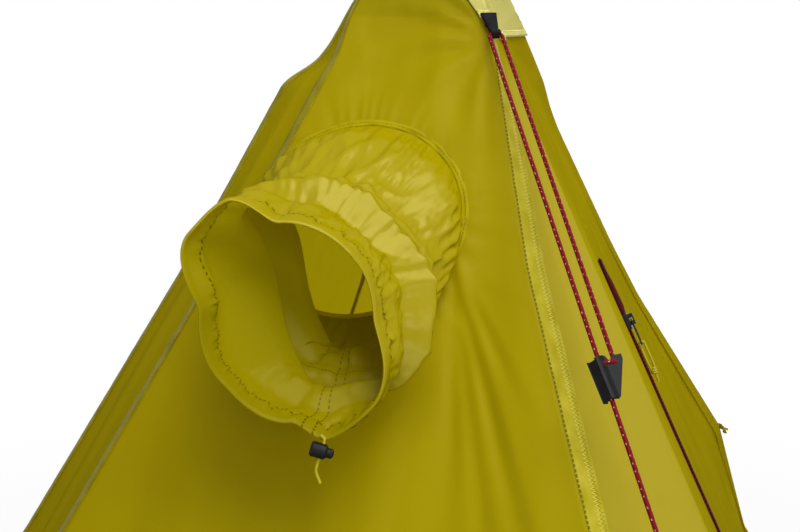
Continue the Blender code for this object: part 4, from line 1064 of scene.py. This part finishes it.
def canopy(looks):
    """One sheet round the whole tent but for the door's leaf and the vent's hole."""
    depths = row_depths(WALL_TOP_DEPTH, HEM_DEPTH)
    points = relieved([canopy_row(depth, -0.0003) for depth in depths], depths)
    columns = points.shape[1]
    starts = np.cumsum([0, *(count for _, _, count in CANOPY_WALLS)])
    door_columns = range(starts[DOOR_WALL], starts[DOOR_WALL + 1])
    hole = VENT_HOLE / 2 + 0.002

    def keep(r, c):
        if c in door_columns and depths[r] >= DOOR_TOP_DEPTH - 0.0001:
            return False
        if c >= starts[END_WALL]:
            middle = Vector(points[r, c]).lerp(Vector(points[r + 1, (c + 1) % columns]), 0.5)
            return from_vent(middle).length > hole
        return True

    kept = [[keep(r, c) for c in range(columns)] for r in range(len(depths) - 1)]
    for r in range(1, len(depths) - 1):
        for c in range(int(starts[END_WALL]) + 1, columns):
            around_it = {kept[r][c], kept[r - 1][c], kept[r][c - 1], kept[r - 1][c - 1]}
            if len(around_it) == 2:
                away = from_vent(Vector(points[r, c]))
                points[r, c] += np.array(away * (hole / away.length - 1))

    piece, area = grid_sheet("canopy_cloth", points, looks["canopy"], True, lambda r, c: kept[r][c])
    area *= 0.99
    right = ("front_wall", "right_shoulder_wall", "right_door_frame")
    left = ("back_wall", "left_side_wall", "left_shoulder_wall")
    settle(piece, "canopy", "canopy_cloth", *right, *left)
    return points, starts


def door(looks):
    """The door's leaf: its own sheet from the zip to its sewn edge."""
    depths = row_depths(DOOR_TOP_DEPTH + 0.0006, HEM_DEPTH)
    count = 80
    rows = []
    for depth in depths:
        start = door_edges(depth)[1]
        end = at_depth(corners(depth)[SEWN_EDGE], depth)
        end = end + (start - end).normalized() * 0.0004
        wide = (end - start).length
        rows.append([(start.lerp(end, k / count), DOOR_WALL, k / count, wide) for k in range(count + 1)])
    piece, area = grid_sheet("door_cloth", relieved(rows, depths, 0.0004), looks["door"])
    area *= 0.99
    settle(piece, "door", "canopy_cloth", "door_panel")


def hip_band(corner, depths, width, wall):
    """A band's middle line on a wall beside a hip, with the vectors across it and out of the wall."""
    line, across, out = [], [], []
    for depth in depths:
        ring = moved_out(corners(depth), 0.0002)
        here = at_depth(ring[corner], depth)
        beside = at_depth(ring[(corner + wall) % 7], depth)
        level = (beside - here).normalized()
        line.append(here)
        across.append(level)
    for i, here in enumerate(line):
        along = (line[min(i + 1, len(line) - 1)] - line[max(i - 1, 0)]).normalized()
        side = (across[i] - along * across[i].dot(along)).normalized()
        normal = along.cross(side).normalized()
        if normal.dot(level_part(here)) < 0:
            normal.negate()
        across[i] = side
        out.append(normal)
    middle = [here + side * width / 2 for here, side in zip(line, across)]
    return middle, across, out


def seams(looks):
    """The felled seams down the hips, each a doubled band on one wall with its rows of stitches."""
    bands = (
        ("front_right_seam", FRONT_RIGHT, "seam", 0.0170, 1),
        ("rear_right_seam", REAR_RIGHT, "door", 0.0200, -1),
        ("front_left_seam", FRONT_LEFT, "dark_seam", 0.0110, -1),
        ("rear_left_seam", REAR_LEFT, "dark_seam", 0.0110, 1),
        ("left_shoulder_seam", SHOULDER_LEFT, "dark_seam", 0.0080, 1),
    )
    for name, corner, look, width, wall in bands:
        top = HOOD_HEM_DEPTH + 0.002 if corner in (FRONT_RIGHT, REAR_RIGHT) else CAP_BOTTOM_DEPTH
        depths = [*np.arange(top, 0.55, 0.0025), *np.arange(0.552, HEM_DEPTH, 0.008), HEM_DEPTH - 0.001]
        line, across, out = hip_band(corner, [float(d) for d in depths], width, wall)
        piece = ribbon(name, line, across, out, width, 0.0006, looks[look], 0.0003, corner)
        settle(piece, "canopy", "canopy_cloth")


# The hood's columns on each wall it covers, from the end wall round to the back wall
HOOD_COLUMNS = (14, 22, 60, 12, 10)


def hood_stops(depth):
    """Where a level line round the hood starts, bends and ends."""
    ring = moved_out(corners(depth), 0.0010)
    wrap = float(np.interp(depth, *zip(*HOOD_WRAP)))
    bends = [ring[corner] for corner in (FRONT_RIGHT, SHOULDER_RIGHT, SEWN_EDGE, REAR_RIGHT)]
    return [bends[0].lerp(ring[FRONT_LEFT], wrap), *bends, bends[-1].lerp(ring[REAR_LEFT], wrap)]


def hood(looks):
    """The pale hood over the door's head, with a stitched hem that rises to the guy tabs at its corners."""
    grid = []
    for share in steps_between(0.0, 1.0, 40):
        row = []
        for part, count in enumerate(HOOD_COLUMNS):
            for k in range(count + (part == len(HOOD_COLUMNS) - 1)):
                place = part + k / count
                fuller = smooth_step(1.5, 2.5, place) * (1 - smooth_step(4.0, 4.8, place))
                low = HOOD_CORNER_LOW + (HOOD_HEM_LOW - HOOD_CORNER_LOW) * fuller
                depth = WALL_TOP_DEPTH + (low - WALL_TOP_DEPTH) * share
                stops = hood_stops(depth)
                row.append(tuple(at_depth(stops[part].lerp(stops[part + 1], k / count), depth)))
        grid.append(row)
    grid = np.array(grid)

    def lift(r, c):
        place = Vector(grid[r, c])
        crumpled = crest(Vector((place.x, place.y, place.z * 0.4)) * 75.0)
        return max(0.0014 * noise.noise(place * 34.0) + 0.0013 * crumpled, -0.0004)

    normals = lifted(grid, lift)
    piece, area = grid_sheet("hood_cloth", grid, looks["hood"])
    thicker = piece.modifiers.new("doubled", "SOLIDIFY")
    thicker.thickness = 0.0012
    thicker.offset = 0.4
    settle(piece, "canopy", "hood_cloth", "door_hood")

    up = [(Vector(a) - Vector(b)).normalized() for a, b in zip(grid[-2], grid[-1])]
    out = [Vector(n) for n in normals[-1]]
    inner = [Vector(p) + u * 0.0036 + n * 0.0007 for p, u, n in zip(grid[-1], up, out)]
    hem = ribbon("hood_hem", inner, up, out, 0.0072, 0.0004, looks["hood_hem"], 0.0004, 4.0)
    settle(hem, "canopy", "hood_cloth")


def cap(looks):
    """The cloth cap over the peak, rounded over its top."""
    depths = steps_between(CAP_TOP_DEPTH, CAP_BOTTOM_DEPTH, 22)
    rings = [moved_out(corners(depth), 0.0020) for depth in depths]
    outlines = [around(ring, 16) for ring in rings]
    middle = sum(rings[0], Vector((0, 0))) / 7
    points = []
    for share in (0.02, 0.35, 0.65, 0.85, 0.95):
        points.append([at_depth(middle.lerp(p, share), CAP_TOP_DEPTH + 0.0002) for p in outlines[0]])
    for depth, outline in zip(depths, outlines):
        points.append([at_depth(p, depth + 0.0002) for p in outline])
    points.append([p + UP * 0.0002 - level_part(p).normalized() * 0.0012 for p in points[-1]])
    count = len(points[0])
    faces = grid_faces(len(points), count, closed=True)
    faces.append(tuple(range(count)))
    piece = add_mesh("peak_cap_cloth", [p for row in points for p in row], faces, looks["canopy"])
    for vertex in piece.data.vertices:
        inward = level_part(vertex.co).normalized()
        vertex.co -= inward * 0.0005 * (1 + noise.noise(vertex.co * 60.0))
    settle(piece, "canopy", "canopy_cloth", "peak_cap")


def around(ring, each):
    points = []
    for first, second in zip(ring, ring[1:] + ring[:1]):
        points += [first.lerp(second, k / each) for k in range(each)]
    return points


def tub_floor(looks):
    """The floor's one sheet, turned up all round into a low wall."""
    outline = around(moved_out(corners(HEIGHT - FLOOR_WALL_HIGH), -0.0030), 36)
    turn_up = 0.012
    rows = []
    for share in steps_between(0.04, 0.985, 26):
        rows.append([(Vector((0, 0)).lerp(p, share), 0.0004) for p in outline])
    for turn in (0.3, 0.6, 0.9):
        inward = turn_up * (1 - math.sin(turn * math.pi / 2))
        rise = 0.0004 + turn_up * (1 - math.cos(turn * math.pi / 2))
        rows.append([(p - p.normalized() * inward, rise) for p in outline])
    for rise in steps_between(0.014, FLOOR_WALL_HIGH - 0.0006, 14):
        rows.append([(p, rise) for p in outline])
    points = []
    for row in rows:
        for flat, rise in row:
            bulge, crinkle = 0.0, 0.0
            if rise > 0.013:
                bulge = -0.0025 * (1 + noise_at(flat.x * 6, flat.y * 6, rise * 20))
            elif rise < 0.001:
                crinkle = 0.0012 * max(0.0, noise_at(flat.x * 9, flat.y * 9, 0))
            points.append(Vector((flat.x, flat.y, rise + crinkle)) + flat.to_3d().normalized() * bulge)
    count = len(outline)
    faces = grid_faces(len(rows), count, closed=True)
    faces.append(tuple(reversed(range(count))))
    piece = add_mesh("floor_cloth", points, faces, looks["floor"])
    settle(piece, "canopy", "floor_cloth", "bathtub_floor")


def hem(looks, points, starts):
    """The folded hem round the canopy's foot, with the door's own part. They stop short of the sewn edge."""
    bottom = [Vector(p) for p in points[-1]]
    upper = [Vector(p) for p in points[-3]]
    door_from, door_to = starts[DOOR_WALL], starts[DOOR_WALL + 1]
    runs = (
        ("canopy_hem", "canopy", range(door_to, len(bottom) + door_from + 1), (0, 1), 8.0),
        ("door_hem", "door", range(door_from + 1, door_to + 1), (-1, -2), 9.0),
    )
    for name, body, run, (at_edge, next_to_it), seed in runs:
        index = [k % len(bottom) for k in run]
        up = [(upper[k] - bottom[k]).normalized() for k in index]
        line = [bottom[k] + u * 0.0085 for k, u in zip(index, up)]
        line[at_edge] = line[at_edge].lerp(line[next_to_it], 0.2)
        out = []
        for k, u in zip(index, up):
            normal = (bottom[(k + 1) % len(bottom)] - bottom[k - 1]).normalized().cross(u)
            if normal.dot(level_part(bottom[k])) < 0:
                normal.negate()
            out.append(normal.normalized())
        piece = ribbon(name, line, up, out, 0.016, 0.0008, looks["hem"], 0.0004, seed)
        settle(piece, body, "canopy_cloth")


# The zip


def zips(looks):
    """Each half of the zip: a woven tape, and a row of coil teeth that is rolled out above the slider."""
    upper, down, forward, out = zip_line()
    start = 0.005
    end = start + (HEM_DEPTH - ZIP_TOP_DEPTH) / -down.z - 0.010
    open_run = (SLIDER_DEPTH - ZIP_TOP_DEPTH) / -down.z - 0.006
    tape_middle = 0.0004 + TAPE_WIDE / 2 + 0.0006
    for half, body, side in (("frame", "canopy", 1), ("door", "door", -1)):
        name = f"zip_{half}_half"
        steps = steps_between(start, end, 260)
        line = [upper + down * s + forward * side * tape_middle - out * 0.0008 for s in steps]
        across, outward = [forward] * len(line), [out] * len(line)
        tape = ribbon(name, line, across, outward, TAPE_WIDE - 0.0006, 0.0007, looks["tape"])
        teeth_line = []
        for s in steps_between(start, end, 700):
            parted = 1 - smooth_step(open_run - 0.012, open_run, s)
            apart = 0.0012 + 0.0010 * parted
            lift = 0.0007 + 0.0007 * parted
            closed = smooth_step(open_run + 0.02, open_run + 0.08, s)
            wave = 0.0012 * math.sin((s - open_run) * 17.0) * closed
            teeth_line.append(upper + down * s + forward * (side * apart + wave) + out * lift)
        teeth = tube(name + "_teeth", teeth_line, 0.0012, looks["teeth"], 8)
        layer = teeth.data.uv_layers[0]
        for loop in teeth.data.loops:
            place = teeth.data.vertices[loop.vertex_index].co
            layer.data[loop.index].uv = (0.0, (place - upper).dot(down))
        settle(tape, body, "red_zip_tape", "zip_tape_" + half)
        settle(teeth, body, "red_zip_tape")
    roll_line = []
    for s in steps_between(0.004, open_run, 60):
        wave = 0.0006 * noise_at(s * 70.0, 0, 3)
        roll_line.append(upper + down * s + forward * (0.0046 + wave) + out * (0.0012 + wave))
    swell = ((0.0, 0.35), (0.5, 1.25), (0.85, 1.35), (1.0, 0.9))
    settle(tube("zip_roll", roll_line, 0.0021, looks["tape"], 10, swell), "canopy", "red_zip_tape")


# Cords


def guy_axes(hip_point, stake_x, stake_y):
    """A tab's frame: origin where it is sewn to the hip, Z down the pull, X level across it."""
    out = level_part(hip_point).normalized()
    start = hip_point + (out + UP * 0.5).normalized() * TAB_SEAT
    down = Vector((stake_x, stake_y, 0)) - start
    return frame_at(start, down.cross(UP), down)


def tab_frames():
    """Each webbing tab's frame, by the name of its solid."""
    hood_ring = moved_out(corners(HOOD_GUY_DEPTH), 0.0013)
    tie_ring = corners(TIE_OUT_DEPTH)
    places = {
        "hood_guy_tab": (hood_ring[FRONT_RIGHT], HOOD_GUY_DEPTH, 1, 1),
        "tie_out_right_rear": (tie_ring[REAR_RIGHT], TIE_OUT_DEPTH, 1, -1),
        "tie_out_left_rear": (tie_ring[REAR_LEFT], TIE_OUT_DEPTH, -1, -1),
    }
    return {
        name: guy_axes(at_depth(flat, depth), GUY_STAKE.x * side, GUY_STAKE.y * end)
        for name, (flat, depth, side, end) in places.items()
    }


def guy_route(axes):
    """From the tensioner up through the tab's eye, down through the tensioner and round the stake."""
    eye = axes @ Vector((0, 0, EYE_FROM_START))
    turn = axes.to_quaternion()
    across, down = turn @ Vector((1, 0, 0)), turn @ UP
    above = across.cross(down)
    if above.z < 0:
        above.negate()
    half = STRAND_APART / 2
    wrap = STAKE / 2 + GAP + GUY_CORD / 2
    rest_z = wrap + GUY_CORD / 2 + GAP
    start = eye + across * half
    length = (rest_z + wrap * above.z - start.z) / down.z
    meeting = start + down * length
    stake = meeting - above * wrap

    tied = TENSIONER_FROM_EYE - TENSIONER_HIGH * 0.2
    points = [eye - across * half + down * (tied * k / 8) for k in range(8, 0, -1)]
    bend = half - 0.002
    for side, first, last in ((-1, math.pi, math.pi / 2), (1, math.pi / 2, 0.0)):
        middle = eye + across * side * 0.002 + down * bend
        for k in range(7):
            angle = first + (last - first) * k / 6
            points.append(middle + bend * (math.cos(angle) * across - math.sin(angle) * down))
    points += [start + down * (length * k / 26) for k in range(1, 27)]
    steps = 16
    for i in range(1, int(1.2 * steps) + 1):
        angle = math.tau * i / steps
        lean = across * ((GUY_CORD + 2 * GAP) * i / steps)
        points.append(stake + wrap * (math.cos(angle) * above + math.sin(angle) * down) + lean)
    return points


def cords(looks):
    route = guy_route(tab_frames()["hood_guy_tab"])
    guy = tube("guy_cord", route, GUY_CORD / 2, looks["guy"], 14)
    settle(guy, "canopy", "red_guy_cord", "guy_line")

    axes = lock_axes()
    top = -LOCK / 2 - LOCK_HANG
    low = LOCK / 2 + LOCK_TAIL_LONG
    places = (
        (-0.0035, top - 0.0022),
        (-0.0012, top - 0.0010),
        (0.0, top + 0.0006),
        (0.0, 0.0),
        (0.0, LOCK / 2 + LOCK_TRAVEL),
        (0.0018, low - 0.0040),
        (0.0050, low),
    )
    route = smooth_line([axes @ Vector((x, 0, z)) for x, z in places], 36)
    tail = tube("drawcord_end", route, DRAWCORD / 2, looks["yellow"], 12)
    settle(tail, "canopy", "yellow_cord", "drawcord_tail")


def lock_axes():
    """The cord lock's frame: X across the mouth, Z down the cord."""
    mouth = vent_mouth_axes()
    angle, radius = math.radians(VENT_LOCK_ANGLE), outline_radius(VENT_MOUTH, VENT_LOCK_ANGLE)
    lowest = mouth @ Vector((radius * math.cos(angle), radius * math.sin(angle), 0))
    down = mouth.to_quaternion() @ Vector((math.sin(-LOCK_LEAN), -math.cos(LOCK_LEAN), 0))
    across = mouth.to_quaternion() @ Vector((1, 0, 0))
    return frame_at(lowest + down * (LOCK_HANG + LOCK / 2), across, down)


def lock_spring(looks):
    """The spring behind the lock's button, built at one length; it does not shorten as the button goes in.
    """
    axes = lock_axes()
    steps = SPRING_TURNS * 20
    points = []
    for i in range(steps + 1):
        angle = math.tau * i / 20
        along = SPRING_FROM + (SPRING_TO - SPRING_FROM) * i / steps
        coil = Vector((0, -math.sin(angle), math.cos(angle))) * SPRING_WIDE / 2
        points.append(axes @ (coil + Vector((along, 0, 0))))
    spring = tube("lock_spring", points, SPRING_WIRE / 2, looks["steel"], 8)
    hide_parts("cord_lock_spring")
    ends = (axes @ Vector((place, 0, 0)) for place in (SPRING_FROM, SPRING_TO))
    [tuple(end) for end in ends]
    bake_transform(spring)


def pull_frame():
    """The zip pull's frame on the slider: X forward across the zip, Y down it, Z out of the wall."""
    upper, down, forward, out = zip_line()
    hinge = on_line(upper, down, SLIDER_DEPTH) + out * PULL_HINGE_HIGH
    return axes_at(hinge, forward, down, out)


def pull_cord(looks):
    """The yellow cord on the slider's wire: a doubled loop, its knot and a short fused tail."""
    axes = pull_frame()
    bight = PULL_WIRE / 2 + GAP + PULL_CORD / 2
    knot_y = PULL_WIRE_LONG + PULL_CORD_LONG + 0.005
    line = [(0, knot_y, -bight * 0.5), (0, knot_y - 0.006, -bight)]
    for k in range(9):
        angle = -math.pi / 2 + math.pi * k / 8
        line.append((0, PULL_WIRE_LONG - bight * math.cos(angle), bight * math.sin(angle)))
    line += [(0, knot_y - 0.006, bight), (0, knot_y, bight * 0.5)]
    knot = []
    turns, steps = 2.5, 60
    for i in range(steps + 1):
        angle = math.tau * turns * i / steps
        along = knot_y - 0.0024 + 0.0048 * i / steps
        knot.append(Vector((0.0017 * math.cos(angle), along, 0.0017 * math.sin(angle))))
    tail = (
        (0, knot_y - 0.001, 0),
        (0.0002, knot_y + 0.005, 0.0003),
        (-0.0003, knot_y + PULL_TAIL_LONG, -0.0002),
    )
    for name, places, radius, nodes in (
        ("pull_loop", smooth_line(line, 60), PULL_CORD / 2, ["zip_pull_cord"]),
        ("pull_knot", knot, 0.00095, []),
        ("pull_tail", smooth_line(tail, 20), PULL_CORD / 2, []),
    ):
        piece = tube(name, [axes @ p for p in places], radius, looks["yellow"], 10)
        settle(piece, "zip_pull", "yellow_cord", *nodes)


# The line tensioner


def plate(name, outline, near, far, lean, finish):
    """A flat outline of (x, z) points, from near to far in Y, sheared by lean in X per metre of Y."""
    points = [Vector((x + lean * y, y, z)) for y in (near, far) for x, z in outline]
    count = len(outline)
    faces = [tuple(range(count)), tuple(reversed(range(count, 2 * count)))]
    faces += [(k, (k + 1) % count, count + (k + 1) % count, count + k) for k in range(count)]
    made = add_mesh(name, points, faces, finish, smooth=False)
    rounded = made.modifiers.new("rounded", "BEVEL")
    rounded.width = 0.0006
    rounded.segments = 3
    return made


def tensioner(looks):
    """The runner: a notched front plate, a side wall folded back from its left edge and a bight of cord."""
    middle = Matrix.Translation((STRAND_APART / 2, 0, EYE_FROM_START + TENSIONER_FROM_EYE))
    axes = tab_frames()["hood_guy_tab"] @ middle
    half, deep = TENSIONER_HIGH / 2, TENSIONER_THICK / 2
    front = (
        (0.0030, -half), (-0.0026, -half + 0.0004), (-0.0052, -half + 0.0066), (-0.0082, -half + 0.0006),
        (-0.0134, -half), (-0.0134, -half + 0.0030), (-0.0040, half), (0.0012, half),
    )
    side = ((0.0034, -half), (0.0012, -half), (-0.0008, half), (0.0014, half))
    front = plate("tensioner_front", front, -deep, -deep + 0.0022, 0.0, looks["plastic"])
    side = plate("tensioner_side", side, -deep, deep, 0.62, looks["plastic"])
    for piece, nodes in ((front, ["line_tensioner"]), (side, [])):
        piece.data.transform(axes)
        settle(piece, "tensioner", "black_plastic", *nodes)
    top = -half + 0.0045
    across = ((0.0, -0.0010), (-0.0012, -0.0032), (-0.0050, -0.0040), (-0.0088, -0.0032), (-0.0100, -0.0010))
    line = smooth_line([(x, y, top) for x, y in across], 24)
    bight = tube("tensioner_bight", [axes @ p for p in line], GUY_CORD / 2, looks["guy"], 12)
    settle(bight, "tensioner", "red_guy_cord")


# Webbing


STRAP_SECTION = (
    (-0.5, -0.35), (-0.47, 0.5), (0.0, 0.62), (0.47, 0.5),
    (0.5, -0.35), (0.47, -0.5), (0.0, -0.62), (-0.47, -0.5),
)


def strap(name, axes, path, widths, thick, finish):
    """Webbing along a flat path of (y, z) points in its own frame, with its width in X at each."""
    points, uvs = [], []
    run = 0.0
    for i, (y, z) in enumerate(path):
        before, after = path[max(i - 1, 0)], path[min(i + 1, len(path) - 1)]
        along = Vector((0, after[0] - before[0], after[1] - before[1])).normalized()
        normal = along.cross(Vector((1, 0, 0)))
        if i:
            run += math.dist(path[i - 1], path[i])
        for side, rise in STRAP_SECTION:
            ribbed = 1 + 0.05 * math.sin(run * 9000 + side * 8)
            points.append(axes @ (Vector((side * widths[i], y, z)) + normal * rise * thick * ribbed))
            uvs.append((side + 0.5, run))
    count = len(STRAP_SECTION)
    faces = grid_faces(len(path), count, closed=True)
    faces.append(tuple(range(count)))
    faces.append(tuple(reversed(range((len(path) - 1) * count, len(path) * count))))
    return add_mesh(name, points, faces, finish, uvs)


def tabs(looks):
    """Each guy tab: webbing folded round its eye, narrowed towards it and held by a bar tack."""
    ring = (TAB_EYE + TAB_EYE_BORE) / 4
    straight = EYE_FROM_START - ring
    path = [(0.0007, straight * k / 14) for k in range(15)]
    for k in range(1, 18):
        angle = math.pi * 0.86 - (math.pi * 1.72) * k / 18
        path.append((ring * math.sin(angle), EYE_FROM_START - ring * math.cos(angle)))
    path += [(-0.0007, straight * k / 14) for k in range(14, -1, -1)]
    tack_share = 0.62
    tack_z = TAB_LONG * tack_share
    tack_path = [(0.0016, tack_z - 0.0016), (0.0019, tack_z), (0.0016, tack_z + 0.0016)]

    def width(share):
        return TAB_WIDE + (TAB_NARROW - TAB_WIDE) * share

    for name, axes in tab_frames().items():
        look, wider = (looks["webbing"], 1.18) if name.startswith("hood") else (looks["olive_webbing"], 0.6)
        widths = [width(min(1.0, max(0.0, z / TAB_LONG))) * wider for _, z in path]
        body = strap(name + "_webbing", axes, path, widths, 0.0010, look)
        wide = width(tack_share) * wider + 0.0006
        tack = strap(name + "_tack", axes, tack_path, [wide] * 3, 0.0007, look)
        settle(body, "canopy", "black_webbing", name)
        settle(tack, "canopy", "black_webbing")


def hem_loops(looks):
    """The webbing loops at the feet of the hips."""
    high = 2 * (LOOP_STRAP + GAP) + STAKE
    ring = corners(HEM_DEPTH)
    radius = (high - LOOP_STRAP) / 2
    straight = LOOP_LONG - high
    quarter = math.pi / 2

    def bend(middle, first, last):
        turn = steps_between(first, last, 15)
        return [(middle + radius * math.cos(a), radius * math.sin(a)) for a in turn]

    path = [(-straight * (1 - k / 10), -radius) for k in range(10)]
    path += bend(0.0, -quarter, quarter)
    path += [(-straight * k / 10, radius) for k in range(1, 10)]
    path += bend(-straight, quarter, 3 * quarter)
    for name, corner in HEM_CORNERS.items():
        foot = ring[corner].to_3d()
        out = foot.normalized()
        middle = Vector((foot.x, foot.y, GAP + high / 2)) + out * (LOOP_LONG - high / 2 - SEWN_IN)
        axes = axes_at(middle, out.cross(UP), out, UP)
        widths = [LOOP_WIDE] * len(path)
        piece = strap("loop_webbing_" + name, axes, path, widths, LOOP_STRAP * 0.9, looks["webbing"])
        settle(piece, "canopy", "black_webbing", "hem_loop_" + name)


def solid_finishes(looks):
    """Better finishes on the solids that stay as they are."""
    stakes = ["hem_stake_" + hip for hip in HEM_CORNERS]
    given = {
        "plastic": ("cord_lock_body", "cord_lock_button", "pole_clamp", "pole_lever", "pole_top_cap"),
        "steel": ("pole_lever_pin",),
        "black_metal": ("zip_slider", "zip_pull_wire"),
        "aluminium": ("pole_upper_tube", "pole_lower_tube", "guy_stake", *stakes),
        "rubber": ("pole_foot",),
        "webbing": ("peak_cup",),
    }
    for look, names in given.items():
        for name in names:
            for place in NODES[name].material_slots:
                place.material = looks[look]


def build():
    looks = finishes()
    camera()
    cords(looks)
    studio()
    points, starts = canopy(looks)
    door(looks)
    hem(looks, points, starts)
    seams(looks)
    hood(looks)
    cap(looks)
    tub_floor(looks)
    snorkel(looks)
    zips(looks)
    pull_cord(looks)
    lock_spring(looks)
    tensioner(looks)
    tabs(looks)
    hem_loops(looks)
    solid_finishes(looks)


build()
